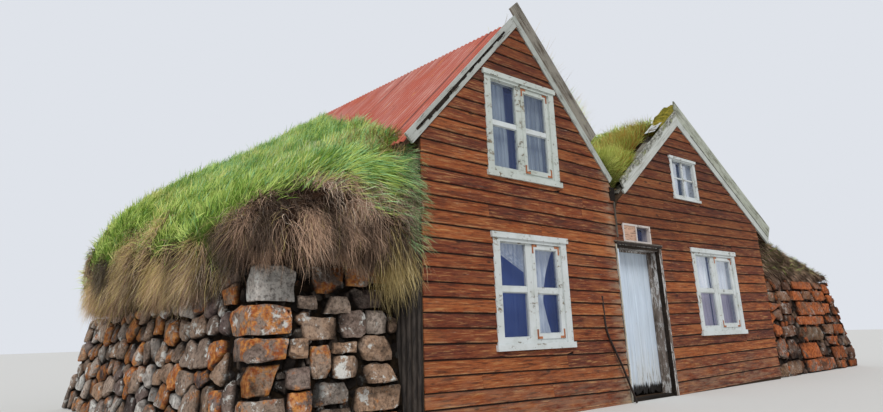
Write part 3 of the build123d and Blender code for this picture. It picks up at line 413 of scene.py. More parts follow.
def glass_finish():
    f = Finish("glass", rough=0.06, gloss=0.5)
    wave = f.noise(2.2, 3)
    f.paint(f.mix(f.range(wave, 0.35, 0.65), "2f3f72", "435588"))
    f.set("Alpha", 0.20)
    f.bump(wave, 0.004)
    return f.material


def cloth_finish(name, light, dark, painted_glow=0.32):
    f = Finish(name, rough=0.95, gloss=0.1)
    folds = f.noise(1.0, 5, 0.6, at=f.stretched(26, 26, 1.2))
    # The cloth glows in its own colours: painted light for the daylight that reaches it through the glass.
    for socket in ("Base Color", "Emission Color"):
        f.set(socket, f.mix(f.range(folds, 0.35, 0.65), light, dark))
    f.set("Emission Strength", painted_glow)
    f.bump(f.noise(260, 2), 0.0008)
    return f.material


FLAKY = (9, 30, 9)
BOARDS = board_finish()
WHITE = painted_wood("white_paint", "d3d8d8", "a3937c", 0.595, dirt="9c9f90", stretch=FLAKY)
WHITE_UPPER = painted_wood("upper_white_paint", "c6ccc6", "9a8b72", 0.575, dirt="8a907e", stretch=FLAKY)
WHITE_SMALL = painted_wood("transom_paint", "cfc6c0", "8c7f70", 0.60, dirt="a0958c", stretch=FLAKY)
DOOR_PAINT = door_finish()
JAMB_WOOD = painted_wood("jamb_paint", "c9c7c4", "8a7d74", 0.455, dirt="7d736a", stretch=(22, 22, 3))
PALE_EDGE = painted_wood("pale_edge", "bdb8a8", "8a7d64", 0.56, dirt="7f7a66", stretch=(22, 22, 3))
GREY_WOOD = rough_wood("grey_wood", "8d857b", "4a4239", stretch=(26, 26, 2))
# Black wood, also used for the black strips that stand for shadow gaps: painted shade.
BLACK_WOOD_AND_SHADE = rough_wood("black_wood_and_shade", "3a3028", "100c09", stretch=(4, 26, 26))
SHEET = painted_wood("pale_sheet", "d5d9da", "8a8274", 0.58, dirt="9a9a90", stretch=(5, 5, 5))
PINK_BOARD = painted_wood("pink_board", "cfa68c", "8f7260", 0.55, dirt="9a7a66", stretch=(4, 20, 20))
ALONG = (2, 30, 26)
GREY_BIG_L = painted_wood("grey_boards_big_left", "b3b6b0", "7d7466", 0.565, -BIG_PITCH, "6c6c60", ALONG)
GREY_BIG_R = painted_wood("grey_boards_big_right", "b0b4ad", "7d7466", 0.565, BIG_PITCH, "6c6c60", ALONG)
PLANK_R = painted_wood("verge_plank_big", "8f897d", "5d5245", 0.53, BIG_PITCH, "4c463a", ALONG)
VERGE_PLANK = verge_finish()
VERGE_GREY = painted_wood("verge_boards", "8b877c", "5e564b", 0.53, -37, "55524a", ALONG)
GREY_SMALL_L = painted_wood("grey_boards_small_left", "c2c4bd", "7c7468", 0.60, -37, "7c7d72", ALONG)
GREY_SMALL_R = painted_wood("grey_boards_small_right", "c0c4be", "7c7468", 0.60, 33, "84857a", ALONG)
MOSSY_R = painted_wood("verge_plank_mossy", "b3b6a8", "77745e", 0.545, 33, "6d7856", ALONG)
TIMBER = rough_wood("rough_timber", "6b5642", "33261b")
UPRIGHT = rough_wood("upright_timber", "6b5642", "33261b", stretch=(26, 26, 2))
STONE_LEFT = stone_finish("stone_left", 0.10, ("a8917f", "bf9a7c", "e4ded6", "786662"))
STONE_CHINKS = stone_finish("stone_chinks", 0.05, ("6d6058", "7a6a5c", "857c72", "4c423d"))
RED_STONE = ("7e5138", "8f5a38", "85684e", "5a3c2c")
STONE_RIGHT = stone_finish("stone_right", 0.18, RED_STONE, ("8a4324", "cb7440"), 0.35)
STONE_BACK = stone_finish("stone_back", 0.04)
EARTH = earth_finish("earth", "2b2219", "0d0a07")
TURF_GREEN = turf_finish("turf_green", (0.3, "34431a"), (0.5, "5f7d30"), (0.7, "98a352"))
TURF_OLIVE = turf_finish("turf_olive", (0.3, "333816"), (0.5, "5a6a2b"), (0.7, "90954f"))
TURF_MOSS = turf_finish("turf_moss", (0.35, "4e4c20"), (0.5, "8c8438"), (0.65, "c2a848"))
BLADES = blade_finish("grass_green", "34470f", "83ad40", "dcec88", "ece296")
BLADES_BLUE = blade_finish("grass_blue", "1c2e14", "568c48", "b4e09c", "d2dcae")
# Dark grass: dark moss, and painted shade on the right turf's front edge.
BLADES_DARK_SHADED = blade_finish("grass_dark_shaded", "0d0b07", "33341c", "6f6f40", "8f7d55")
BLADES_VALLEY = blade_finish("grass_yellow", "3a3c16", "98a53e", "d3d878", "c98f52")
BLADES_DRY = blade_finish("grass_dry", "0a0605", "4a362c", "dcb698", "f6e2cc")
BLADES_RUST = blade_finish("grass_rust", "33230f", "a86c2f", "dca552", "d07f3c")
BLADES_STRAW = blade_finish("grass_straw", "150f07", "7f6a3a", "e4cc8c", "efdcae")
MOSS = blade_finish("moss", "54581f", "8f9a34", "d9c648", "c98f3a")
RED_IRON = red_iron_finish()
DARK_IRON = dark_iron_finish("dark_iron", "15120f", "33241c")
# The side panel: near black as painted shade, with light spots as painted highlights on its corrugations.
PANEL_IRON_SHADED = dark_iron_finish("panel_iron_shaded", "0c0a09", "4a423c")
RUST_IRON = dark_iron_finish("rust_iron", "84492e", "bb7a52")
GLASS = glass_finish()
CLOTH = cloth_finish("curtain_cloth", "cbd3da", "97a3b4")
CLOTH_DIM = cloth_finish("curtain_dim", "aebabf", "7c8992", 0.2)
CLOTH_WHITE = cloth_finish("curtain_white", "f1f4f6", "ced6dc", 0.46)
CLOTH_MAUVE = cloth_finish("curtain_mauve", "b9b2bd", "8f8a98")
BLIND_GREEN = cloth_finish("curtain_green", "4b5a55", "2b3836", 0.1)
BLIND = cloth_finish("curtain_blue", "4c629a", "354a88", 0.14)
BLIND_DUSK = cloth_finish("curtain_dusk", "56627c", "3f4a62", 0.12)
BLIND_GREY = cloth_finish("curtain_grey", "6b7480", "444c58", 0.1)

# Mesh helpers


def placed(name, data):
    """A new object in the scene."""
    made = bpy.data.objects.new(name, data)
    bpy.context.scene.collection.objects.link(made)
    return made


def carry(mesh, marks):
    """Gives a mesh its marks: numbers for each point, by name."""
    for mark, values in marks.items():
        store = mesh.attributes.new(mark, "FLOAT", "POINT")
        store.data.foreach_set("value", np.asarray(values, np.float32))


def riding(name, mesh, finish, body="house", smooth=False):
    """A mesh as a piece with its finish, riding on a body."""
    if smooth:
        mesh.polygons.foreach_set("use_smooth", [True] * len(mesh.polygons))
    mesh.materials.clear()
    mesh.materials.append(finish)
    piece = placed(name, mesh)
    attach(piece, body)
    return piece


def piece_of(name, points, faces, finish, body="house", smooth=False, marks=None):
    mesh = bpy.data.meshes.new(name)
    mesh.from_pydata([tuple(p) for p in points], [], [tuple(f) for f in faces])
    carry(mesh, marks or {})
    mesh.validate()
    return riding(name, mesh, finish, body, smooth)


def turn_out(piece, crease=None):
    """Makes a piece's closed shells face outward, with sharp edges past an angle in degrees."""
    edit = bmesh.new()
    edit.from_mesh(piece.data)
    bmesh.ops.recalc_face_normals(edit, faces=edit.faces)
    if crease:
        for edge in edit.edges:
            edge.smooth = edge.calc_face_angle(0) < radians(crease)
    edit.to_mesh(piece.data)
    edit.free()


class Solids:
    """Many small closed solids gathered into one mesh."""

    def __init__(self):
        self.points = []
        self.faces = []
        self.marks = {}

    def add(self, points, faces, **marks):
        start = len(self.points)
        self.points.extend(points)
        self.faces.extend([tuple(start + i for i in face) for face in faces])
        for mark, value in marks.items():
            values = value if hasattr(value, "__len__") else [value] * len(points)
            self.marks.setdefault(mark, []).extend(values)

    def box(self, x0, x1, y0, y1, z0, z1, edge=0.0, **marks):
        """A box with its edges cut off by edge, all round."""
        low, high = (x0, y0, z0), (x1, y1, z1)
        points = []
        index = {}
        for corner in range(8):
            at = [high[a] if corner >> a & 1 else low[a] for a in range(3)]
            for a in range(3):
                moved = list(at)
                for b in range(3):
                    if b != a:
                        moved[b] += edge if not corner >> b & 1 else -edge
                index[corner, a] = len(points)
                points.append(tuple(moved))
        faces = [tuple(index[c, a] for a in range(3)) for c in range(8)]
        for a in range(3):
            b, c = (a + 1) % 3, (a + 2) % 3
            for side in (0, 1):
                ring = [(side << a) | (p << b) | (q << c) for p, q in ((0, 0), (1, 0), (1, 1), (0, 1))]
                faces.append(tuple(index[k, a] for k in ring))
            for p in (0, 1):
                for q in (0, 1):
                    k0 = (p << b) | (q << c)
                    k1 = k0 | (1 << a)
                    faces.append((index[k0, b], index[k1, b], index[k1, c], index[k0, c]))
        self.add(points, faces, **marks)

    def piece(self, name, finish, slot, body="house", smooth=False):
        made = piece_of(name, self.points, self.faces, finish, body, smooth, self.marks)
        turn_out(made)
        return made


def mesh_arrays(mesh):
    """A mesh's points, and its triangles as rows of point numbers."""
    points = np.empty(len(mesh.vertices) * 3)
    mesh.vertices.foreach_get("co", points)
    mesh.calc_loop_triangles()
    triangles = np.empty(len(mesh.loop_triangles) * 3, int)
    mesh.loop_triangles.foreach_get("vertices", triangles)
    return points.reshape(-1, 3), triangles.reshape(-1, 3)


def dice(name):
    """A random source of its own for each piece, so that one edit doesn't move the rest."""
    return np.random.default_rng([SEED, *name.encode()])


def ramp(values, low, high):
    """How far values have come from low to high, from 0 to 1."""
    return np.clip((values - low) / (high - low), 0, 1)


# Lapped boards on the two fronts

BOARD_SHOWS = 0.1358
SMALL_BOARD_SHOWS = 0.1378
BOARD_LAP = 0.022
BUTT_THICK = 0.0200
TOP_THICK = 0.0040
BOARD_STEP = 0.11
JOINT_GAP = 0.0012
JOINTED_FROM = 1.6
LEAST_WIDE = 0.01
CASING_TUCK = 0.02
SILL_PAST = 0.022
WINDOWS = ("lower_window", "upper_window", "attic_window", "right_window")


def window_holes():
    """Where the boards stop behind each window's casing, as (x0, x1, z0, z1)."""
    aside = SILL_PAST + CASING_TUCK
    boxes = [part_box(name + "_frame") for name in WINDOWS]
    return [(a.x + aside, b.x - aside, a.z + CASING_TUCK, b.z - CASING_TUCK) for a, b in boxes]


def board_cells(left, right, low, high, holes):
    """Splits one board, from left(z) to right(z), round the holes that it meets.

    Each cell is its left and right edge as functions of z, and its foot and top as shares."""
    tall = high - low
    cells = [(left, right, 0.0, 1.0)]
    for x0, x1, z0, z1 in holes:
        after = []
        for a, b, v0, v1 in cells:
            below, above = max((z0 - low) / tall, v0), min((z1 - low) / tall, v1)
            if below >= above:
                after.append((a, b, v0, v1))
                continue
            after.append((a, lambda z, b=b, x=x0: min(b(z), x), v0, v1))
            after.append((lambda z, a=a, x=x1: max(a(z), x), b, v0, v1))
            inner = (lambda z, a=a, x=x0: max(a(z), x), lambda z, b=b, x=x1: min(b(z), x))
            after.append((*inner, v0, below))
            after.append((*inner, above, v1))
        cells = [cell for cell in after if cell[3] - cell[2] > 0.01]
    return cells


def lapped_boards(name, left, right, high, shows, first, tilt, hinge, holes):
    """Tapered boards laid from the ground up, each over the top edge of the one below.

    shows is how much of each board shows, first the height of one board's foot, and the
    courses tilt about x = hinge."""
    rng = dice(name)
    wall = Solids()
    course = int(-first // shows)
    while first + course * shows < high:
        base = first + course * shows
        top = base + shows + BOARD_LAP
        tones = rng.uniform(0, 1, 4)
        swell = rng.uniform(-0.0015, 0.0015)
        butt_at = rng.uniform(0.2, 0.8)
        for a, b, v0, v1 in board_cells(left, right, base, top, holes):
            za, zb = base + (top - base) * v0, base + (top - base) * v1
            if zb <= 0.0:
                continue
            za = max(za, 0.0)
            x_low, x_top = (a(za), b(za)), (a(zb), b(zb))
            wide = x_low[1] - x_low[0]
            if wide < LEAST_WIDE:
                continue
            if x_top[1] < x_top[0]:
                x_top = ((x_top[0] + x_top[1]) / 2,) * 2
            spans = [(0.0, 1.0)]
            if wide > JOINTED_FROM:
                gap = JOINT_GAP / wide
                spans = [(0.0, butt_at - gap), (butt_at + gap, 1.0)]
            # Round a board's end: its x, z, share of the height, and how far in from its face,
            # which is None on the wall
            outline = ((x_low, za, v0, None), (x_low, za + 0.002, v0, 0.003), (x_low, za + 0.006, v0, 0.0))
            outline += ((x_top, zb, v1, 0.0), (x_top, zb, v1, None))
            for number, (u0, u1) in enumerate(spans):
                count = max(2, int(wide * (u1 - u0) / BOARD_STEP) + 1)
                points, laps, faces = [], [], []
                for step in range(count):
                    u = u0 + (u1 - u0) * step / (count - 1)
                    for x, z, v, inset in outline:
                        px = x[0] + (x[1] - x[0]) * u
                        sag = tilt * (px - hinge) + 0.003 * noise.noise((px * 0.9, course * 3.7, 1.3))
                        thick = BUTT_THICK + (TOP_THICK - BUTT_THICK) * v
                        thick += swell + 0.0016 * noise.noise((px * 2.3, course * 5.1, 7.7))
                        depth = 0.0 if inset is None else thick - inset
                        cut_end = step in (0, count - 1) and (v0, v1) != (0.0, 1.0)
                        points.append((px, FRONT - depth, max(z + (0.0 if cut_end else sag), 0.0)))
                        laps.append(v * (top - base) / shows)
                for start in range(0, count * 5 - 5, 5):
                    for k in range(5):
                        p, q = start + k, start + (k + 1) % 5
                        faces.append((p, q, q + 5, p + 5))
                faces += [tuple(range(5)), tuple(range(count * 5 - 1, count * 5 - 6, -1))]
                greys = [board_grey(p[0], (base + top) / 2) for p in points]
                # How much painted shade each point gets under the gables.
                dims = [board_dim(p[0], p[2]) for p in points]
                wall.add(points, faces, tone=float(tones[number % 4]), lap=laps, grey=greys, dim=dims)
        course += 1
    return wall.piece(name, BOARDS, "wall_boards")


def board_grey(x, z):
    """How weathered a board is: most at the ground, at the seam and by the door."""
    ground = max(0.0, 1 - z / 0.5) * 0.35
    seam = max(0.0, 1 - abs(x - JOIN + 0.02) / 0.18) * (0.75 if x < JOIN else 0.3)
    return min(1.0, 0.04 + ground + seam)


def board_dim(x, z):
    """How dark a board is: painted shade, most of it high up under the gables."""
    if x > JOIN:
        return ramp(z, 1.5, 2.1) * 0.75 + 0.05
    high = ramp(z, 3.1, 3.6) * 0.65
    right = ramp(x, -2.75, -2.55) * ramp(z, 2.2, 2.6) * 0.45
    return max(high, right)


def gable_line(apex, pitch, side):
    """x on the lower edge of a bargeboard at height z."""
    return lambda z: apex[0] + side * (apex[1] - z) / tan(radians(pitch))


# How far boards run on behind a bargeboard, and half the gap between the two fronts' boards
TUCK = 0.03
SEAM_GAP = 0.004

# Over the door, the big front's boards reach past the seam by this much
SEAM_STEP = 0.07
SEAM_FROM = 1.86


def boarded_fronts():
    big_l = gable_line(BIG_APEX, BIG_PITCH, -1)
    big_r = gable_line((BIG_APEX[0], BIG_APEX[1] - 0.06), BIG_PITCH, 1)
    small_l = gable_line(SMALL_APEX, SMALL_PITCH_LEFT, -1)
    small_r = gable_line(SMALL_APEX, SMALL_PITCH_RIGHT, 1)
    holes = window_holes()
    low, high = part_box("transom_frame")
    transom = (low.x + 0.005, high.x - 0.005, low.z + 0.005, high.z - 0.005)
    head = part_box("door_head_strip")[1].z
    doorway = (JOIN - 1.0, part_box("door_frame")[1].x + 0.002, -1.0, head - SEAM_GAP)

    def big_right(z):
        return min(JOIN - SEAM_GAP + SEAM_STEP * (z > SEAM_FROM), big_r(z) + TUCK)

    def small_left(z):
        return max(JOIN + SEAM_GAP + SEAM_STEP * (z > SEAM_FROM), small_l(z) - TUCK)

    side = (lambda z: max(BIG_LEFT, big_l(z) - TUCK), big_right)
    courses = (BOARD_SHOWS, 0.0506, -0.016)
    lapped_boards("big_front_boards", *side, BIG_APEX[1], *courses, BIG_LEFT + 0.5, holes)
    side = (small_left, lambda z: min(SMALL_RIGHT, small_r(z) + TUCK))
    courses = (SMALL_BOARD_SHOWS, 0.018, 0.014)
    holes = [*holes, transom, doorway]
    lapped_boards("small_front_boards", *side, SMALL_APEX[1], *courses, JOIN + 1.3, holes)


boarded_fronts()

# Stones


class Strip:
    """Wall faces unrolled side by side: along runs round the corners and up is z.

    corners are (x, y) at the ground, falls how far each moves inward in a metre of height,
    and tops the height of the wall at each corner."""

    ROUND = 0.05

    def __init__(self, corners, falls, tops):
        self.corners = np.array(corners, float)
        self.falls = np.array(falls, float)
        self.tops = np.array(tops, float)
        steps = np.linalg.norm(np.diff(self.corners, axis=0), axis=1)
        self.runs = np.concatenate([[0.0], np.cumsum(steps)])

    def top(self, along):
        return np.interp(along, self.runs, self.tops)

    def place(self, along, up, out):
        """Points in the frame, out being how far they stand proud of the wall's face."""
        k = np.clip(np.searchsorted(self.runs, along, side="right") - 1, 0, len(self.runs) - 2)
        at = self.corners[:, None, :] + self.falls[:, None, :] * np.asarray(up)[None, :, None]
        every = np.arange(len(along))
        a, b = at[k, every], at[k + 1, every]
        share = ((along - self.runs[k]) / (self.runs[k + 1] - self.runs[k]))[:, None]
        plan = a + (b - a) * share
        ahead = b - a
        for j in range(1, len(self.runs) - 1):
            near = np.abs(along - self.runs[j]) < self.ROUND
            if not near.any():
                continue
            corner, before, after = at[j, near], at[j - 1, near], at[j + 1, near]
            enter = (corner - before) * self.ROUND / (self.runs[j] - self.runs[j - 1])
            leave = (after - corner) * self.ROUND / (self.runs[j + 1] - self.runs[j])
            q = ((along[near] - self.runs[j]) / self.ROUND / 2 + 0.5)[:, None]
            plan[near] = corner - enter * (1 - q) ** 2 + leave * q**2
            ahead[near] = enter * (1 - q) + leave * q
        ahead /= np.linalg.norm(ahead, axis=1)[:, None]
        outward = np.stack([-ahead[:, 1], ahead[:, 0]], axis=1)
        plan = plan + outward * np.asarray(out)[:, None]
        return np.column_stack([plan, up])


def clipped(outline, normal, limit):
    """The part of a convex outline where normal . point is at most limit."""
    kept = []
    for i, p in enumerate(outline):
        q = outline[(i + 1) % len(outline)]
        dp, dq = normal @ p - limit, normal @ q - limit
        if dp <= 0:
            kept.append(p)
        if dp * dq < 0:
            kept.append(p + (q - p) * dp / (dp - dq))
    return kept


CORNERS = ((-1, -1), (1, -1), (1, 1), (-1, 1))

# How far the middle of a stone laid by code stays from a listed one
LAID_CLEAR = 0.02


def hewn(rng, block, gap):
    """A squared outline (along0, along1, up0, up1) with its corners knocked about."""
    a0, a1, u0, u1, _ = block
    centre = np.array(((a0 + a1) / 2, (u0 + u1) / 2))
    half = np.array((a1 - a0 - gap, u1 - u0 - gap)) / 2
    outline = [centre + half * sign * rng.uniform(0.93, 1.0, 2) for sign in CORNERS]
    for sign in CORNERS:
        if rng.random() < 0.55:
            normal = np.array(sign) / half * rng.uniform(0.5, 1.0, 2)
            normal /= np.linalg.norm(normal)
            off = half.min() * rng.uniform(0.12, 0.4)
            outline = clipped(outline, normal, normal @ (centre + half * sign) - off)
    return np.array(outline)


def stone_outlines(strip, rng, wide, high, gap, start, end, laid=()):
    """Close-fitting outlines of stones in rough courses from start to end along a strip.

    wide and high are a stone's usual size. laid are listed stones set among them."""
    squeeze = wide / high
    outlines = [hewn(rng, block, gap * 0.4) for block in laid]
    sites = []
    up = 0.0
    while up < strip.tops.max() + high:
        rise = high * rng.uniform(0.75, 1.3)
        x = start - wide + rng.uniform(0, wide)
        while x < end + wide:
            z = up + rise / 2 + rng.uniform(-0.38, 0.38) * rise
            clear = [max(a0 - x, x - a1, u0 - z, z - u1) for a0, a1, u0, u1, _ in laid]
            if min(clear, default=LAID_CLEAR) >= LAID_CLEAR:
                sites.append((x, z, rng.uniform(0.45, 1.45)))
            x += wide * rng.uniform(0.5, 1.5)
        up += rise
    sites = np.array(sites)
    flat = sites[:, :2] * (1, squeeze)
    weight = (0.36 * wide * sites[:, 2]) ** 2
    for i, (x, z, _) in enumerate(sites):
        if not start <= x <= end or z > strip.top(x) + high / 2:
            continue
        near = np.argsort(np.linalg.norm(flat - flat[i], axis=1))[1:22]
        reach = 1.6 * wide
        low, far = max(start, x - reach), min(end, x + reach)
        outline = [np.array(p) for p in ((low, 0.004), (far, 0.004), (far, z + reach), (low, z + reach))]
        slope = (strip.top(x + 0.05) - strip.top(x - 0.05)) / 0.1
        outline = clipped(outline, np.array([-slope, 1.0]), strip.top(x) - slope * x)
        for j in near:
            step = flat[j] - flat[i]
            normal = np.array([2 * step[0], 2 * step[1] * squeeze])
            normal *= rng.uniform(0.85, 1.15, 2)
            size = np.linalg.norm(normal)
            share = 0.5 + (weight[i] - weight[j]) / (2 * step @ step)
            at = (sites[i, :2] + (sites[j, :2] - sites[i, :2]) * share) @ normal
            if outline:
                outline = clipped(outline, normal / size, at / size - gap * rng.uniform(0.3, 0.9))
        for a0, a1, u0, u1, _ in laid:
            sides = ((a0 - x, (1, 0), a0), (x - a1, (-1, 0), -a1), ((u0 - z) * squeeze, (0, 1), u0))
            sides += (((z - u1) * squeeze, (0, -1), -u1),)
            _, normal, limit = max(sides, key=lambda side: side[0])
            if outline:
                outline = clipped(outline, np.array(normal, float), limit - gap / 2)
        if len(outline) > 2 and np.ptp(outline, axis=0).min() > 0.04:
            outlines.append(np.array(outline))
    return outlines


# How deep a stone is behind the wall's face, and how far back its surface is broken up
STONE_DEEP = 0.16
ROUGH_TO = 0.10

# How far the stones' faces stand out from the wall's
STONE_FRONT = (-0.035, 0.008)


def rock(outline, rng, front, fine):
    """One stone as (along, up, out) places and triangles: a block broken by flat cuts, then weathered."""
    edit = bmesh.new()
    count = len(outline)
    backs = [edit.verts.new((*p, -STONE_DEEP)) for p in outline]
    fronts = [edit.verts.new((*p, front + 0.04)) for p in outline]
    edit.faces.new(backs)
    edit.faces.new(fronts[::-1])
    for i in range(count):
        j = (i + 1) % count
        edit.faces.new((backs[i], fronts[i], fronts[j], backs[j]))
    centre = outline.mean(axis=0)
    span = np.ptp(outline, axis=0)
    aside = rng.normal(0, 1, 2)
    aside /= np.linalg.norm(aside)
    cuts = [((*centre, front), (*(rng.normal(0, 0.022, 2) / span), 1.0))]
    steep = rng.uniform(0.02, 0.07) * 2 / span.mean()
    cuts.append(((*(centre + aside * span * 0.15), front), (*(aside * steep), 1.0)))
    for i in range(count):
        p, q = outline[i], outline[(i + 1) % count]
        middle = (p + q) / 2
        outward = np.array(((q - p)[1], -(q - p)[0]))
        size = np.linalg.norm(outward)
        if size < 0.03:
            continue
        outward *= np.sign(outward @ (middle - centre)) / size
        deep = rng.uniform(0.006, 0.14) * span.min()
        cuts.append(((*middle, front - deep), (*outward, rng.uniform(0.2, 1.1))))
    for i in rng.permutation(count)[:3]:
        away = (outline[i] - centre) / np.linalg.norm(outline[i] - centre)
        at = outline[i] - away * span.min() * rng.uniform(0.03, 0.22)
        cuts.append(((*at, front - 0.02), (*away, rng.uniform(0.1, 1.1))))
    for at, normal in cuts:
        every = edit.verts[:] + edit.edges[:] + edit.faces[:]
        bmesh.ops.bisect_plane(edit, geom=every, dist=1e-4, plane_co=at, plane_no=normal, clear_outer=True)
        rim = [edge for edge in edit.edges if edge.is_boundary]
        if rim:
            bmesh.ops.edgeloop_fill(edit, edges=rim)
    bmesh.ops.triangulate(edit, faces=edit.faces[:])
    for _ in range(3):
        open_edges = [e for e in edit.edges if max(v.co.z for v in e.verts) > -ROUGH_TO]
        long = [e for e in open_edges if e.calc_length() > fine]
        if long:
            bmesh.ops.subdivide_edges(edit, edges=long, cuts=1)
            bmesh.ops.triangulate(edit, faces=edit.faces[:])
    bmesh.ops.recalc_face_normals(edit, faces=edit.faces[:])
    axes = {"use_axis_" + axis: True for axis in "xyz"}
    bmesh.ops.smooth_vert(edit, verts=edit.verts[:], factor=0.16, **axes)
    edit.normal_update()
    shift = Vector(rng.uniform(0, 50, 3))
    moves = []
    for vert in edit.verts:
        at = vert.co + shift
        moves.append(vert.normal * (0.014 * noise.noise(at * 8) + 0.007 * noise.noise(at * 23)))
    for vert, move in zip(edit.verts, moves):
        vert.co += move
    edit.verts.index_update()
    places = np.array([vert.co for vert in edit.verts])
    triangles = [tuple(vert.index for vert in face.verts) for face in edit.faces]
    edit.free()
    return places, triangles


def stones(name, strip, outlines, finish, fine, lichen=0.5, most=0.02, sunk=0.0, by_hand=()):
    """One mesh of separate broken stones, none of them out by more than most.

    sunk is how far all of them lie behind the wall's other stones, and fine the longest edge
    on their faces. The first outlines are the listed ones, and the very first is the palest."""
    rng = dice(name)
    points, faces = [], []
    marks = {"tone": [], "lichen": [], "deep": []}
    for number, outline in enumerate(outlines):
        front = rng.uniform(*STONE_FRONT) - sunk
        laid, triangles = rock(outline, rng, front, fine)
        laid[:, 1] = np.maximum(laid[:, 1], 0.002)
        # How far back each point lies, for the painted shade deep in the wall.
        marks["deep"].extend(laid[:, 2])
        laid[:, 2] = np.minimum(laid[:, 2], most)
        faces.extend(tuple(len(points) + i for i in face) for face in triangles)
        points.extend(in_box(strip.place(laid[:, 0], laid[:, 1], laid[:, 2])))
        tone = rng.uniform(0, 1)
        spots = rng.uniform(0, 1) ** 1.4 * lichen * 2
        if number < len(by_hand):
            tone = 0.95 if number == 0 else 0.08 + 0.76 * tone
            spots = by_hand[number][4]
        marks["tone"].extend([tone] * len(laid))
        marks["lichen"].extend([spots] * len(laid))
    turn_out(piece_of(name, points, faces, finish, smooth=True, marks=marks), crease=24)


def in_box(points):
    """Points moved to inside the CAD box."""
    edge = 0.003
    return np.clip(points, np.array(cad_low) + (edge, edge, 0), np.array(cad_high) - edge)


# How far the earth stays behind the wall's face, above the ground and below its top
CORE_IN = 0.075
CORE_FOOT = 0.003
CORE_DOWN = 0.004


def wall_core(name, strip, close_at, *replaced):
    """The dark earth behind the stones of one strip, closed at the plan points in close_at."""
    stations = np.unique(np.concatenate([strip.runs, np.arange(0, strip.runs[-1], 0.35)]))
    inward = np.full(len(stations), -CORE_IN)
    foot = strip.place(stations, np.full(len(stations), CORE_FOOT), inward)
    top = strip.place(stations, strip.top(stations) - CORE_DOWN, inward)
    n = len(stations) + len(close_at)
    points = [(*p[:2], CORE_FOOT) for p in foot] + [(*p, CORE_FOOT) for p in close_at]
    points += [tuple(p) for p in top]
    points += [(*p, strip.tops[0 if i else -1] - CORE_DOWN) for i, p in enumerate(close_at)]
    faces = [(i, (i + 1) % n, (i + 1) % n + n, i + n) for i in range(n)]
    faces += [tuple(range(n)), tuple(range(2 * n - 1, n - 1, -1))]
    core = Solids()
    core.add(points, faces)
    made = core.piece(name, EARTH, "stone")
    edit = bmesh.new()
    edit.from_mesh(made.data)
    bmesh.ops.triangulate(edit, faces=[f for f in edit.faces if len(f.verts) > 4])
    edit.to_mesh(made.data)
    edit.free()
    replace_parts(made, *replaced)


def batter(node, axis, side):
    """How far a wall's face moves along x (0) or y (1) in a metre of height."""
    points, _ = mesh_arrays(nodes[node].data)
    pick = np.max if side else np.min
    foot = points[points[:, 2] < points[:, 2].min() + 0.001]
    top = points[points[:, 2] > points[:, 2].max() - 0.001]
    return (pick(top[:, axis]) - pick(foot[:, axis])) / (top[0, 2] - foot[0, 2])


# The stones seen at the front corner and beside the timber wall, as (along0, along1, up0, up1,
# how much lichen)
CORNER_STONES = (
    (1.14, 2.00, 1.10, 1.42, 0.30),
    (1.15, 2.08, 0.84, 1.09, 0.8),
    (1.19, 2.04, 0.64, 0.83, 0.7),
    (1.22, 1.83, 0.39, 0.63, 1.0),
    (1.19, 1.76, 0.15, 0.38, 0.6),
    (0.60, 0.98, 1.17, 1.42, 0.75),
    (0.32, 0.60, 1.24, 1.42, 0.9),
    (0.02, 0.32, 1.27, 1.42, 0.8),
    (0.13, 0.53, 1.05, 1.23, 0.2),
    (0.54, 0.89, 1.00, 1.16, 0.1),
    (0.90, 1.13, 1.04, 1.16, 0.4),
    (0.98, 1.14, 0.91, 1.03, 0.3),
    (0.69, 1.08, 0.79, 0.98, 0.1),
    (0.39, 0.68, 0.80, 1.04, 0.1),
    (0.12, 0.38, 0.83, 1.04, 0.2),
    (1.00, 1.19, 0.65, 0.82, 0.1),
    (0.49, 0.77, 0.68, 0.78, 0.0),
    (0.09, 0.48, 0.60, 0.82, 0.3),
    (0.77, 0.98, 0.49, 0.76, 0.6),
    (0.47, 0.76, 0.48, 0.67, 0.2),
    (0.02, 0.44, 0.42, 0.59, 0.1),
    (0.98, 1.21, 0.43, 0.60, 0.5),
    (0.58, 0.94, 0.28, 0.47, 0.5),
    (0.02, 0.56, 0.20, 0.41, 0.3),
    (0.95, 1.18, 0.22, 0.42, 0.9),
    (0.57, 0.90, 0.06, 0.27, 0.4),
)

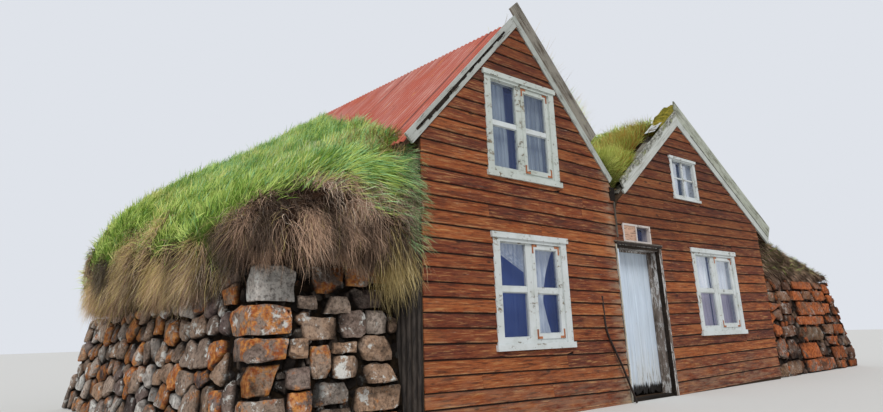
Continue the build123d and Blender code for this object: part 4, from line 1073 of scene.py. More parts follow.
# The right wall's front, in wide slabs: along is counted from its outer corner
FRONT_SLABS = (
    (1.22, 2.54, 0.50, 0.77, 0.35),
    (1.00, 2.10, 1.39, 1.53, 0.95),
    (2.14, 2.55, 1.37, 1.52, 0.4),
    (0.55, 0.96, 1.41, 1.53, 0.5),
    (0.03, 0.50, 1.33, 1.52, 0.9),
    (1.78, 2.36, 1.19, 1.36, 0.7),
    (1.22, 1.74, 1.21, 1.37, 0.1),
    (0.50, 1.17, 1.19, 1.38, 0.8),
    (2.42, 2.95, 1.17, 1.35, 0.0),
    (0.03, 0.45, 1.14, 1.31, 0.9),
    (0.86, 2.36, 0.94, 1.18, 0.65),
    (0.40, 0.85, 0.97, 1.16, 0.95),
    (2.36, 2.94, 0.96, 1.16, 0.1),
    (0.02, 0.35, 0.94, 1.11, 0.5),
    (0.93, 2.40, 0.78, 0.93, 0.75),
    (2.40, 2.95, 0.79, 0.95, 0.4),
    (0.04, 0.92, 0.80, 0.93, 0.7),
    (2.55, 3.10, 0.59, 0.78, 0.1),
    (0.72, 1.20, 0.60, 0.78, 0.1),
    (0.12, 0.67, 0.60, 0.78, 0.95),
    (0.60, 1.20, 0.42, 0.57, 0.7),
    (0.03, 0.55, 0.38, 0.57, 0.1),
    (2.54, 3.04, 0.24, 0.58, 0.3),
    (1.63, 2.53, 0.22, 0.49, 1.0),
    (1.24, 1.61, 0.24, 0.48, 0.1),
    (0.46, 1.12, 0.17, 0.39, 0.8),
    (0.02, 0.40, 0.17, 0.35, 0.4),
    (1.15, 2.54, 0.01, 0.22, 0.6),
    (2.56, 3.30, 0.02, 0.23, 0.0),
    (0.50, 1.15, 0.01, 0.14, 0.6),
)


def stone_walls():
    left, right, back = (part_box(side + "_stone_wall") for side in ("left", "right", "back"))
    corner_left, corner_right = back[0].x, back[1].x
    left_x, left_y = batter("left_stone_wall", 0, 0), batter("left_stone_wall", 1, 0)
    right_x, right_y = batter("right_stone_wall", 0, 1), batter("right_stone_wall", 1, 0)
    back_l, back_r = batter("back_stone_wall", 0, 0), batter("back_stone_wall", 0, 1)
    back_y = batter("back_stone_wall", 1, 1)
    left_strip = Strip(
        [
            (left[1].x, left[0].y),
            (corner_left, left[0].y),
            (corner_left, ROOM_BACK),
            (corner_left, BACK_END),
            (corner_right, BACK_END),
            (corner_right, ROOM_BACK + 0.002),
        ],
        [(0, left_y), (left_x, left_y), (back_l, 0), (back_l, back_y), (back_r, back_y), (back_r, 0)],
        [left[1].z] * 2 + [back[1].z] * 4,
    )
    right_strip = Strip(
        [(corner_right, ROOM_BACK), (corner_right, right[0].y), (right[0].x, right[0].y)],
        [(right_x, 0), (right_x, right_y), (0, right_y)],
        [right[1].z] * 3,
    )
    turn = right_strip.runs[1]
    slabs = [(turn + a0, turn + a1, *rest) for a0, a1, *rest in FRONT_SLABS]
    left_end, right_end = left_strip.runs[-1], right_strip.runs[-1]
    side_end = left_strip.runs[3] - 0.1

    def lay(name, seed, strip, finish, sizes, span, fine, lichen, laid=(), **placing):
        outlines = stone_outlines(strip, dice(seed), *sizes, *span, laid)
        stones(name, strip, outlines, finish, fine, lichen, by_hand=laid, **placing)

    sizes = (0.27, 0.20, 0.022)
    lay("left_stones", "left", left_strip, STONE_LEFT, sizes, (0.0, side_end), 0.060, 0.6, CORNER_STONES)
    sizes, near = (0.13, 0.10, 0.006), (0.0, left_strip.runs[1] + 0.5)
    lay("left_chinks", "chinks", left_strip, STONE_CHINKS, sizes, near, 0.11, 0.35, sunk=0.045)
    sizes, far = (0.38, 0.24, 0.024), (side_end, left_end)
    lay("back_stones", "back", left_strip, STONE_BACK, sizes, far, 0.085, 0.4, most=-0.005)
    sizes, whole = (0.50, 0.165, 0.022), (0.0, right_end)
    lay("right_stones", "right", right_strip, STONE_RIGHT, sizes, whole, 0.095, 0.75, slabs, most=-0.002)
    sizes, near = (0.18, 0.12, 0.006), (turn - 0.3, right_end)
    hidden = {"most": -0.002, "sunk": 0.028}
    lay("right_chinks", "right_chinks", right_strip, STONE_RIGHT, sizes, near, 0.13, 0.5, **hidden)
    inside = [(RIGHT_END - 0.5, ROOM_BACK), (left[1].x, ROOM_BACK)]
    wall_core("left_earth", left_strip, inside, "left_stone_wall", "back_stone_wall")
    wall_core("right_earth", right_strip, [(right[0].x, ROOM_BACK)], "right_stone_wall")


stone_walls()

# Turf


def rolling(points, size, shift=0.0):
    """Smooth noise at each point, about from -1 to 1, with its crests size apart."""
    return np.array([noise.noise((p[0] / size + shift, p[1] / size, p[2] / size)) for p in points])


# How often the sod is smoothed, how far its closed sides draw in, and how deep blades root
SOD_ROUNDS = 5
SOD_IN = 0.004
ROOT_DEEP = 0.012


def sod(name, finish, outward, lump, *sources, voxel=0.055, bare=None):
    """The turf of some nodes as one lumpy mass, which stands proud only towards outward."""
    gathered = bmesh.new()
    for source in sources:
        gathered.from_mesh(nodes[source].data)
    mesh = bpy.data.meshes.new(name)
    gathered.to_mesh(mesh)
    gathered.free()
    rough = placed(name + "_rough", mesh)
    remesh = rough.modifiers.new("remesh", "REMESH")
    remesh.mode = "VOXEL"
    remesh.voxel_size = voxel
    mesh = bpy.data.meshes.new_from_object(rough.evaluated_get(bpy.context.evaluated_depsgraph_get()))
    bpy.data.objects.remove(rough)
    points = mesh_arrays(mesh)[0]
    edges = np.empty(len(mesh.edges) * 2, int)
    mesh.edges.foreach_get("vertices", edges)
    a, b = edges.reshape(-1, 2).T
    count = np.bincount(edges, minlength=len(points))[:, None]
    for _ in range(SOD_ROUNDS):
        around = np.zeros_like(points)
        np.add.at(around, a, points[b])
        np.add.at(around, b, points[a])
        points += (around / count - points) * 0.6
    mesh.vertices.foreach_set("co", points.ravel())
    mesh.update()
    normals = np.empty(len(points) * 3)
    mesh.vertex_normals.foreach_get("vector", normals)
    normals = normals.reshape(-1, 3)
    open_side = np.clip((normals @ np.array(outward)) * 2.5, 0, 1)
    swell = rolling(points, 0.55) + 0.6 * rolling(points, 0.21, 9.0) + 0.3 * rolling(points, 0.09, 4.0)
    points += normals * (open_side * (lump * swell) - (1 - open_side) * SOD_IN)[:, None]
    mesh.vertices.foreach_set("co", in_box(points).ravel())
    # bare gives where the sod is darkened: dark earth with painted shade.
    if bare:
        carry(mesh, {"bare": bare(points)})
    made = riding(name, mesh, finish, smooth=True)
    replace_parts(made, *sources)
    return made


FINE = ((0.0, 1.0), (0.38, 0.9), (0.74, 0.6), (1.0, 0.0))
PLAIN = ((0.0, 1.0), (0.55, 0.8), (1.0, 0.0))


def grass(
    ground, name, finish, count, long, wide, lean, pick, droop=0.25, wild=0.35,
    joints=FINE, kink=0.0, hem=None, shade=None,
):
    """Blades growing from a ground mesh, as tapering strips with their width at each joint.

    long is their shortest and longest, wide their width at the root, droop how far they bend
    down and wild how far they stray. lean(roots, normals) gives which way they point,
    pick(places, normals) how thickly they grow, hem(roots) the height below which they may
    not hang, and shade(roots) how dark they are. kink is how far each joint strays."""
    rng = dice(name)
    points, triangles = mesh_arrays(ground.data)
    corners = points[triangles]
    across = np.cross(corners[:, 1] - corners[:, 0], corners[:, 2] - corners[:, 0])
    area = np.linalg.norm(across, axis=1)
    facing = across / np.maximum(area, 1e-12)[:, None]
    chance = area * pick(corners.mean(axis=1), facing)
    which = rng.choice(len(chance), count, p=chance / chance.sum())
    u, v = rng.random((2, count))
    over = u + v > 1
    u[over], v[over] = 1 - u[over], 1 - v[over]
    c = corners[which]
    roots = c[:, 0] + (c[:, 1] - c[:, 0]) * u[:, None] + (c[:, 2] - c[:, 0]) * v[:, None]
    roots -= facing[which] * ROOT_DEEP
    clump = rolling(roots, 0.17, 3.0)
    broad = rolling(roots, 0.8, 17.0)
    swirl = np.column_stack([rolling(roots, 0.35, shift) for shift in (31.0, 57.0, 83.0)])
    toward = lean(roots, facing[which]) + swirl * wild + rng.normal(0, wild * 0.55, (count, 3))
    toward /= np.linalg.norm(toward, axis=1)[:, None]
    length = long[0] + (long[1] - long[0]) * np.clip(rng.beta(2, 3, count) + clump * 0.45, 0, 1)
    if hem:
        length *= np.clip((roots[:, 2] - hem(roots)) / (0.8 * long[1]), 0.22, 1)
    side = np.cross(toward, rng.normal(0, 1, (count, 3)))
    side /= np.linalg.norm(side, axis=1)[:, None]
    half = wide * rng.uniform(0.6, 1.2, count) / 2
    bend = np.array((0, 0, -droop)) + rng.normal(0, 0.10, (count, 3))
    strip = []
    for along, taper in joints:
        stray = rng.normal(0, kink * along, (count, 3))
        at = roots + (toward * along + bend * along**2 + stray) * length[:, None]
        aside = side * (half * taper)[:, None]
        strip += [at - aside, at + aside] if taper else [at]
    blades = in_box(np.stack(strip, axis=1).reshape(-1, 3))
    each = len(strip)
    pattern = np.array([(k, k + 1, k + 3, k + 2) for k in range(0, each - 3, 2)])
    tips = np.array([(each - 3, each - 2, each - 1)])
    starts = (np.arange(count) * each)[:, None, None]
    quads = (pattern[None] + starts).reshape(-1, 4)
    ends = (tips[None] + starts).reshape(-1, 3)
    mesh = bpy.data.meshes.new(name)
    mesh.vertices.add(len(blades))
    mesh.vertices.foreach_set("co", blades.ravel())
    mesh.loops.add(quads.size + ends.size)
    mesh.loops.foreach_set("vertex_index", np.concatenate([quads.ravel(), ends.ravel()]).astype(np.int32))
    mesh.polygons.add(len(quads) + len(ends))
    starts_at = np.concatenate([np.arange(len(quads)) * 4, quads.size + np.arange(len(ends)) * 3])
    mesh.polygons.foreach_set("loop_start", starts_at.astype(np.int32))
    mesh.update(calc_edges=True)
    tone = np.clip(0.5 + broad * 0.5 + clump * 0.5 + rng.normal(0, 0.18, count), 0, 1)
    dry = np.clip(0.35 + rolling(roots, 0.45, 71.0) * 0.5 + rng.normal(0, 0.17, count), 0, 1)
    along = np.tile([at for at, taper in joints for _ in range(2 if taper else 1)], count)
    # Painted shade: shaded blades take more of the root colour.
    if shade:
        along = along * np.repeat(1 - shade(roots), each)
    carry(mesh, {"tone": np.repeat(tone, each), "dry": np.repeat(dry, each), "along": along})
    return riding(name, mesh, finish)


def towards(*direction):
    """A lean that adds one direction to the ground's own normal."""
    add = np.array(direction)
    return lambda roots, normals: normals * 0.55 + add


def zone(places, x=None, y=None, z=None):
    """How far places lie in a zone, from ramps along the axes."""
    share = 1.0
    for axis, limits in enumerate((x, y, z)):
        if limits:
            share = share * ramp(places[:, axis], *limits)
    return share


def combed(across, up):
    """Grass laid over towards the timber front, and flatter and downward beside it."""

    def lean(roots, normals):
        near = zone(roots, (-5.6, -4.8), (-2.2, -2.6))[:, None]
        lie = np.array((across, -0.15, up)) * (1 - near) + np.array((0.75, -0.30, -0.12)) * near
        return normals * 0.45 + lie

    return lean


EAVE_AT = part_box("left_roof_turf")[0].x


def left_turf():
    def level(places):
        """Height against the line where green gives way to dead grass, which wanders."""
        end = zone(places, y=(-2.4, -1.9))
        wander = 0.34 * end * rolling(places, 0.42, 5.0) + 0.08 * rolling(places, 0.25, 8.0)
        swell = zone(places, y=(-2.2, -2.5)) * zone(places, (-6.6, -6.2)) * zone(places, (-5.15, -5.5))
        return places[:, 2] - 0.30 * zone(places, (LEFT_END, EAVE_AT)) + 0.10 * end + wander - 0.24 * swell

    def green(places, normals):
        """Green grows on top and on the upper slopes."""
        height = ramp(level(places), 1.55, 1.95)
        return height * ramp(normals[:, 2] + 0.6 * (-normals[:, 0]) + 0.45 * (-normals[:, 1]), 0.0, 0.3)

    def blue(places, normals):
        """Bluer grass, most of it toward the boards."""
        return green(places, normals) * (0.15 + zone(places, (-6.0, -5.2)))

    def fringe(places, normals):
        """Dead grass hangs from the brow's foot."""
        return ramp(level(places), 1.98, 1.60) * ramp(-normals[:, 0] - normals[:, 1], 0.1, 0.5)

    def clumps(places, normals):
        """Dead grass in hanging clumps, with dark earth in painted shade between."""
        return fringe(places, normals) * (0.12 + ramp(rolling(places, 0.30, 44.0), -0.25, 0.12))

    def straw(places, normals):
        """Paler dead grass, most of it on the end."""
        return clumps(places, normals) * (0.05 + zone(places, y=(-2.3, -1.6)) * zone(places, (-5.2, -5.9)))

    def hem(roots):
        """The stones' tops show below the fringe."""
        edge = np.interp(roots[:, 1], (-2.75, -2.4, -1.4, 1.5), (1.40, 1.37, 1.23, 1.12))
        return edge + 0.11 * rolling(roots, 0.42)

    def shade(roots):
        """The foot of the fringe and its hollows lie in shade."""
        foot = ramp(roots[:, 2] - hem(roots), 0.30, 0.02)
        return np.clip(0.8 * foot + 1.15 * ramp(rolling(roots, 0.30, 63.0), -0.06, 0.24), 0, 0.96)

    def by_boards(places, _):
        """The edge beside the timber front, where grass lies over the boards."""
        return zone(places, (-4.85, -4.62), (-2.45, -2.65), (1.5, 1.9))

    def by_eave(places, _):
        """The turf's top edge against the iron's foot, at the front."""
        return zone(places, (-5.0, -4.75), (-1.2, -2.5), (2.35, 2.55))

    def over_panel(places, _):
        """The corner beside the timber wall, where straw hangs in front of the iron panel."""
        return zone(places, (-5.0, -4.8), (-2.4, -2.6), (1.9, 1.6))

    sources = ("left_turf_bank", "left_roof_turf")
    outward = (-0.75, -0.25, 0.62)
    # Dark earth and painted shade below the brow, under the hanging grass.
    given = {"bare": lambda places: ramp(level(places), 1.86, 1.70)}
    grow = partial(grass, sod("left_sod", TURF_GREEN, outward, 0.035, *sources, **given))
    grow("left_grass", BLADES, 33000, (0.08, 0.24), 0.0075, combed(0.45, 0.22), green, 0.22, 0.26)
    grow("left_tufts", BLADES_BLUE, 9000, (0.12, 0.30), 0.008, combed(0.5, 0.3), blue, 0.25, 0.26)
    hanging = {"hem": hem, "shade": shade, "kink": 0.10}
    fall = towards(0.25, -0.35, -0.05)
    grow("left_fringe", BLADES_DRY, 24500, (0.10, 0.30), 0.0042, fall, clumps, 0.85, 0.7, **hanging)
    grow("eave_straw", BLADES_STRAW, 1600, (0.10, 0.22), 0.006, towards(0.15, -0.30, 0.35), by_eave)
    grow("left_spill", BLADES_BLUE, 2200, (0.14, 0.30), 0.006, towards(0.75, -0.35, -0.1), by_boards, 0.35)
    fall = towards(0.7, -0.35, -0.2)
    grow("left_spill_dry", BLADES_DRY, 1600, (0.12, 0.26), 0.0045, fall, by_boards, 0.35)
    fall = towards(-0.3, -0.15, -0.05)
    grow("left_straw", BLADES_STRAW, 9000, (0.10, 0.30), 0.0048, fall, straw, 0.85, 0.7, **hanging)
    fall = towards(0.2, -0.12, -0.9)
    grow("panel_straw", BLADES_STRAW, 900, (0.18, 0.38), 0.0045, fall, over_panel, 0.6, 0.4, kink=0.08)


def back_turf():
    def face(_, normals):
        return ramp(normals[:, 1] + normals[:, 2], 0.1, 0.4)

    ground = sod("back_sod", TURF_GREEN, (0.0, 0.8, 0.6), 0.04, "back_turf_wall", voxel=0.08)
    grow = partial(grass, ground, joints=PLAIN)
    grow("back_grass", BLADES, 16000, (0.08, 0.22), 0.011, towards(0.0, 0.25, 0.2), face)
    grow("back_tufts", BLADES_STRAW, 5000, (0.10, 0.26), 0.008, towards(0.0, 0.2, -0.1), face)


def right_turf():
    def open_face(normals):
        return ramp(normals[:, 2] + 0.8 * normals[:, 0] - 0.6 * normals[:, 1], 0.1, 0.4)

    # Where the grass is dark: dark moss, and painted shade, along the front edge and the right end.
    def dark_and_shaded(places):
        return np.maximum(zone(places, y=(-1.9, -2.3)), zone(places, (4.4, 5.6)) * 0.6)

    def edges(places, normals):
        return open_face(normals) * dark_and_shaded(places)

    def slope(places, normals):
        return open_face(normals) * (1 - 0.95 * dark_and_shaded(places))

    def front_edge(places, normals):
        """The edge over the wall's front, where dead grass hangs on the stones."""
        return zone(places, y=(-2.45, -2.6)) * ramp(-normals[:, 1] - normals[:, 2], -0.7, 0.2)

    def hang_shade(roots):
        return np.clip(0.60 + 0.9 * rolling(roots, 0.25), 0.1, 0.93)

    sources, outward = ("right_turf_bank", "small_roof_turf_right"), (0.5, -0.25, 0.83)
    # Dark earth and painted shade along the turf's front edge.
    given = {"voxel": 0.08, "bare": lambda places: zone(places, y=(-2.3, -2.55))}
    grow = partial(grass, sod("right_sod", TURF_OLIVE, outward, 0.03, *sources, **given))
    grow("right_grass", BLADES, 17000, (0.07, 0.18), 0.008, towards(0.25, -0.05, 0.2), slope, joints=PLAIN)
    grow("right_edge", BLADES_DARK_SHADED, 5000, (0.05, 0.14), 0.0065, towards(0.25, -0.15, 0.15), edges)
    fall, look = towards(0.1, -0.3, -0.3), {"joints": PLAIN, "shade": hang_shade}
    grow("right_hang", BLADES_DRY, 2600, (0.07, 0.18), 0.0055, fall, front_edge, 0.5, 0.5, **look)


BACK_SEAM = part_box("small_roof_turf_left")[1].y


def valley_grass():
    def top_face(_, normals):
        return ramp(normals[:, 2] - 0.5 * normals[:, 1], 0.1, 0.4)

    def brink(places, normals):
        """Thickest at the front, where the valley ends over the seam."""
        near = zone(places, y=(-1.6, -2.6)) * zone(places, (-1.9, -1.4))
        return top_face(places, normals) * near * zone(places, (0.35, -0.2)) * zone(places, z=(2.35, 2.6))

    def rusty(places, normals):
        """Dry orange moss and grass on the small roof, near its verge."""
        return brink(places, normals) * zone(places, (-1.25, -0.55))

    def seam_shade(roots):
        return 0.92 * zone(roots, z=(3.0, 2.55)) * zone(roots, y=(-2.2, -2.5))

    def behind_plank(places, normals):
        near = zone(places, y=(-2.2, -2.6)) * zone(places, (-1.5, -1.7))
        return near * zone(places, (-3.0, -2.3)) * ramp(normals[:, 2], 0.2, 0.5)

    def big_slope(places, normals):
        return top_face(places, normals) * (0.15 + zone(places, (-1.3, -1.7)))

    def ridge(places, normals):
        """The small ridge and the line along the back, where one mass of turf meets the next."""
        along = np.maximum(zone(places, (0.10, 0.36)), zone(places, y=(BACK_SEAM - 0.35, BACK_SEAM)))
        return top_face(places, normals) * along

    sources = ("valley_turf", "big_roof_turf_right", "small_roof_turf_left")
    # Dark rot and painted shade low at the valley's front, over the seam.
    given = {"voxel": 0.075, "bare": lambda at: zone(at, z=(2.75, 2.45)) * zone(at, y=(-2.3, -2.6))}
    grow = partial(grass, sod("valley_sod", TURF_OLIVE, (0.0, -0.3, 0.95), 0.02, *sources, **given))
    short = {"joints": PLAIN}
    lean = towards(0.0, -0.15, 0.4)
    grow("valley_grass", BLADES_VALLEY, 8000, (0.07, 0.2), 0.0085, lean, top_face, **short)
    grow("slope_grass", BLADES, 9000, (0.08, 0.2), 0.010, towards(0.2, 0.0, 0.3), big_slope, **short)
    up = towards(0.0, -0.12, 0.75)
    grow("valley_brink", BLADES_VALLEY, 6500, (0.12, 0.32), 0.0055, up, brink, 0.12, 0.3, shade=seam_shade)
    look = {"joints": PLAIN, "shade": seam_shade}
    grow("valley_rust", BLADES_RUST, 4600, (0.07, 0.22), 0.006, up, rusty, 0.1, 0.3, **look)
    up = towards(0.1, -0.1, 0.9)
    grow("valley_stems", BLADES_STRAW, 700, (0.22, 0.50), 0.004, up, behind_plank, 0.05)
    up = towards(0.1, -0.15, 0.9)
    grow("plank_grass", BLADES, 1500, (0.18, 0.36), 0.0055, up, behind_plank, 0.08)
    grow("ridge_grass", BLADES, 3500, (0.12, 0.26), 0.010, towards(0.35, 0.35, 0.15), ridge, **short)


left_turf()
back_turf()
right_turf()
valley_grass()


# The gables' edges


def sloping(solids, top, pitch, side, along, y, lift):
    """A board lying on a roof: along and lift are its places down the slope and off it."""
    start = len(solids.points)
    solids.box(*along, *y, *lift, 0.002)
    turn = radians(pitch)
    for i in range(start, len(solids.points)):
        run, across, up = solids.points[i]
        x = top[0] + side * (run * cos(turn) + up * sin(turn))
        solids.points[i] = (x, across, top[1] - run * sin(turn) + up * cos(turn))


VERGE_THICK = 0.018
VERGE_LONG = 1.6


def small_verge():
    """Weathered boards beside the small gable's left plank, with a scrap of sheet and moss."""
    top = (SMALL_APEX[0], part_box("small_roof_boards_left")[1].z)
    rng = dice("small_verge")
    count, first = 3, BOX_FRONT + 0.10
    wide = (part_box("small_roof_turf_left")[0].y - first) / count
    boards = Solids()
    for k in range(count):
        y = (first + wide * k + 0.004, first + wide * k + wide - 0.002)
        run = 0.02
        while run < VERGE_LONG:
            long = rng.uniform(0.5, 0.9)
            lift = rng.uniform(0.002, 0.006)
            sloping(boards, top, SMALL_PITCH_LEFT, -1, (run, run + long), y, (lift, lift + VERGE_THICK))
            run += long + 0.006
    boards.piece("small_verge_boards", VERGE_GREY, "grey_boards")
    steps, rows = 9, 6
    turn = radians(SMALL_PITCH_LEFT)
    points = []
    for lift in (0.0, 1.0):
        for i in range(steps):
            run = -0.24 + 0.60 * i / (steps - 1)
            for j in range(rows):
                y = BOX_FRONT + 0.092 + 0.27 * j / (rows - 1)
                crown = 0.26 - 0.22 * max(0.0, run - 0.02) - 0.9 * max(0.0, y - BOX_FRONT - 0.26)
                up = 0.02 + lift * (crown + 0.045 * noise.noise((run * 11, y * 11, 4.0)) - 0.02)
                x = top[0] - run * cos(turn) - up * sin(turn)
                points.append((x, y, SMALL_APEX[1] - run * sin(turn) + up * cos(turn)))
    half = steps * rows
    faces = []
    for i in range(steps - 1):
        for j in range(rows - 1):
            a = i * rows + j
            faces.append((a, a + 1, a + 1 + rows, a + rows))
            faces.append((a + half, a + rows + half, a + 1 + rows + half, a + 1 + half))
    rim = [*range(rows), *range(2 * rows - 1, half, rows)]
    rim += [*range(half - 2, half - rows - 1, -1), *range(half - 2 * rows, 0, -rows)]
    faces += [(a, b, b + half, a + half) for a, b in zip(rim, rim[1:] + rim[:1])]
    mound = Solids()
    mound.add(points, faces)
    heap = mound.piece("verge_mound", TURF_MOSS, "turf", smooth=True)
    sheet = Solids()
    y = (BOX_FRONT + 0.13, BOX_FRONT + 0.30)
    sloping(sheet, SMALL_APEX, SMALL_PITCH_LEFT, -1, (0.25, 0.55), y, (0.200, 0.204))
    sheet.piece("verge_sheet", SHEET, "white_paint")

    def open_side(_, normals):
        return ramp(normals[:, 2] - 0.5 * normals[:, 0], 0.1, 0.5)

    lean = towards(0.0, -0.1, 0.2)
    grass(heap, "verge_moss", MOSS, 3500, (0.012, 0.04), 0.006, lean, open_side, joints=PLAIN)


small_verge()


SHADE_STRIP_FROM = 0.30
SHADE_STRIP_TO = 2.24


def iron_edge():
    """A ragged black strip of painted shade for the gap under the iron's edge, and split battens, along
    the upper edge of the big left bargeboard.
    """
    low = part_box("big_bargeboard_left")[0].y
    slope = (BIG_APEX, BIG_PITCH, -1)
    rng = dice("iron_edge")
    shade_strip, battens = Solids(), Solids()
    run = SHADE_STRIP_FROM
    # The ragged black strip stands for the shadow gap under the iron: painted shade.
    while run < SHADE_STRIP_TO:
        long = rng.uniform(0.04, 0.15)
        wide = rng.uniform(0.010, 0.026) + 0.030 * max(0.0, 1 - abs(run - 1.75) / 0.45)
        sloping(shade_strip, *slope, (run, run + long), (low - 0.004, low + 0.03), (0.072 - wide, 0.079))
        run += long * rng.uniform(0.8, 0.98)
    for start, long in ((0.45, 0.50), (1.02, 0.34), (1.42, 0.52)):
        sloping(battens, *slope, (start, start + long), (low - 0.001, low + 0.08), (0.079, 0.087))
    shade_strip.piece("iron_edge_shade_strip", BLACK_WOOD_AND_SHADE, "rough_timber")
    battens.piece("iron_edge_battens", GREY_BIG_L, "grey_boards")


iron_edge()


def verge_gap_shade():
    """A black strip of painted shade for the dark line between the small gable's right bargeboard and its
    plank.
    """
    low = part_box("small_bargeboard_right")[0].y
    gap = Solids()
    y = (low - 0.001, low + 0.03)
    sloping(gap, SMALL_APEX, SMALL_PITCH_RIGHT, 1, (0.35, 2.93), y, (0.100, 0.118))
    gap.piece("verge_gap_shade", BLACK_WOOD_AND_SHADE, "rough_timber")


verge_gap_shade()

# The finishes of the nodes that show as they are

NODE_FINISHES = (
    (WHITE, "lower_window_frame", "attic_window_frame", "right_window_frame"),
    (WHITE, "lower_window_sashes", "attic_window_sashes", "right_window_sashes"),
    (WHITE_UPPER, "upper_window_frame", "upper_window_sashes"),
    (WHITE_SMALL, "transom_frame"),
    (GLASS, "window_glass", "transom_glass"),
    (JAMB_WOOD, "door_frame"),
    (DARK_IRON, "door_head_strip", "door_straps", "door_pintles", "leaning_bar"),
    (BLACK_WOOD_AND_SHADE, "threshold"),
    (GREY_BIG_L, "big_bargeboard_left"),
    (GREY_BIG_R, "big_bargeboard_right"),
    (PLANK_R, "big_verge_plank"),
    (GREY_SMALL_L, "small_bargeboard_left"),
    (VERGE_PLANK, "small_verge_plank_left"),
    (GREY_SMALL_R, "small_bargeboard_right"),
    (MOSSY_R, "small_verge_plank_right"),
    (RED_IRON, "big_roof_iron"),
    (PANEL_IRON_SHADED, "side_iron_panel"),
    (UPRIGHT, "left_side_wall", "right_side_wall", "valley_wall", "valley_posts"),
    (TIMBER, "big_front_wall", "small_front_wall", "small_gable_wall", "door_head_wall"),
    (TIMBER, "big_roof_boards_left", "big_roof_boards_right", "small_roof_boards_left"),
    (TIMBER, "small_roof_boards_right", "rafters", "ground_floor", "loft_floor", "loft_joists"),
    (TIMBER, "valley_beam"),
)

for finish, *names in NODE_FINISHES:
    for node in names:
        mesh = nodes[node].data
        mesh.materials.clear()
        mesh.materials.append(finish)

# Windows


def islands(mesh):
    """The low and high corner of each loose part of a mesh."""
    edit = bmesh.new()
    edit.from_mesh(mesh)
    bmesh.ops.remove_doubles(edit, verts=edit.verts, dist=1e-5)
    left = set(edit.verts)
    boxes = []
    while left:
        grown = [left.pop()]
        part = list(grown)
        while grown:
            for edge in grown.pop().link_edges:
                for vert in edge.verts:
                    if vert in left:
                        left.remove(vert)
                        grown.append(vert)
                        part.append(vert)
        places = np.array([vert.co for vert in part])
        boxes.append((places.min(axis=0), places.max(axis=0)))
    edit.free()
    return sorted(boxes, key=lambda box: tuple(box[0]))


CASEMENT_FACE = FRONT - 0.008
CASEMENT_BAR = 0.050
IRON_ARM = 0.095
IRON_WIDE = 0.024
IRON_THICK = 0.0035
IRON_EDGE = 0.0012
SCREW_HALF = 0.004
BAR_HALF = 0.029
ATTIC_BAR_HALF = 0.011
PUTTY = 0.008


def casement_iron(irons, x, z, right, up):
    """An L-shaped strap on a casement's corner, with three screw heads."""
    y0, y1 = CASEMENT_FACE - IRON_THICK, CASEMENT_FACE + 0.001
    far_x, far_z = x + right * IRON_ARM * 0.85, z + up * IRON_ARM
    near_x, near_z = x + right * IRON_WIDE, z + up * IRON_WIDE
    for a, b, c, d in ((x, near_x, z, far_z), (near_x, far_x, z, near_z)):
        irons.box(min(a, b), max(a, b), y0, y1, min(c, d), max(c, d), IRON_EDGE)
    for dx, dz in ((0.5, 0.5), (0.5, 3.4), (2.9, 0.5)):
        sx, sz, head = x + right * IRON_WIDE * dx, z + up * IRON_WIDE * dz, SCREW_HALF
        irons.box(sx - head, sx + head, y0 - 0.0015, y0 + 0.001, sz - head, sz + head, IRON_EDGE)


def window_bars():
    """The bars across each pane, with the casements' corner irons."""
    bars, small, irons, putty = Solids(), Solids(), Solids(), Solids()
    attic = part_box("attic_window_sashes")
    for low, high in islands(nodes["window_glass"].data):
        middle, face = (low[2] + high[2]) / 2, low[1]
        span = (low[0], high[0])
        if attic[0].x < low[0] < attic[1].x and low[2] > attic[0].z:
            at = (middle - ATTIC_BAR_HALF, middle + ATTIC_BAR_HALF)
            small.box(*span, face - 0.016, face + 0.002, *at, 0.003)
            continue
        casement = face < FRONT + 0.018
        out = (CASEMENT_FACE if casement else FRONT) + 0.003
        bars.box(*span, out, face + 0.001, middle - BAR_HALF, middle + BAR_HALF, 0.004)
        for z, up in ((low[2], 1), (high[2], -1), (middle + BAR_HALF, 1), (middle - BAR_HALF, -1)):
            putty.box(*span, face - 0.007, face, min(z, z + up * PUTTY), max(z, z + up * PUTTY), 0.002)
        if casement:
            for x, right in ((low[0] - CASEMENT_BAR, 1), (high[0] + CASEMENT_BAR, -1)):
                for z, up in ((low[2] - CASEMENT_BAR, 1), (high[2] + CASEMENT_BAR, -1)):
                    casement_iron(irons, x + right * 0.001, z + up * 0.001, right, up)
    bars.piece("window_bars", WHITE, "white_paint")
    small.piece("attic_bars", WHITE, "white_paint")
    putty.piece("window_putty", WHITE, "white_paint")
    irons.piece("casement_irons", RUST_IRON, "dark_iron")


window_bars()


def curtain(name, rows, pleats, depth, shift, cloth=CLOTH, back=0.0):
    """A hung cloth. rows are (z, left x, right x) from its top down; pleats are its folds.

    depth is how deep the folds are, shift makes them its own, and back is how far it hangs
    behind the foremost cloths."""
    across, down = pleats * 10 + 1, 34
    tops = np.array(rows)
    zs = np.linspace(tops[0, 0], tops[-1, 0], down)
    lefts, rights = (np.interp(-zs, -tops[:, 0], tops[:, side]) for side in (1, 2))
    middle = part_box("window_curtains")[1].y - 0.020 + back
    points = []
    for z, x0, x1 in zip(zs, lefts, rights):
        for i in range(across):
            u = i / (across - 1)
            fold = sin(u * pleats * 2 * pi + shift + 0.5 * noise.noise((u * 4, z * 1.3, shift)))
            deep = depth * (0.75 + 0.35 * noise.noise((u * 5, z * 0.8, shift + 4)))
            edge = 0.006 * noise.noise((z * 6, shift, 2.0))
            points.append((x0 + (x1 - x0) * u + edge, middle + fold * deep, z))
    starts = [j * across + i for j in range(down - 1) for i in range(across - 1)]
    faces = [(a, a + across, a + across + 1, a + 1) for a in starts]
    made = piece_of(name, points, faces, cloth, smooth=True)
    return made


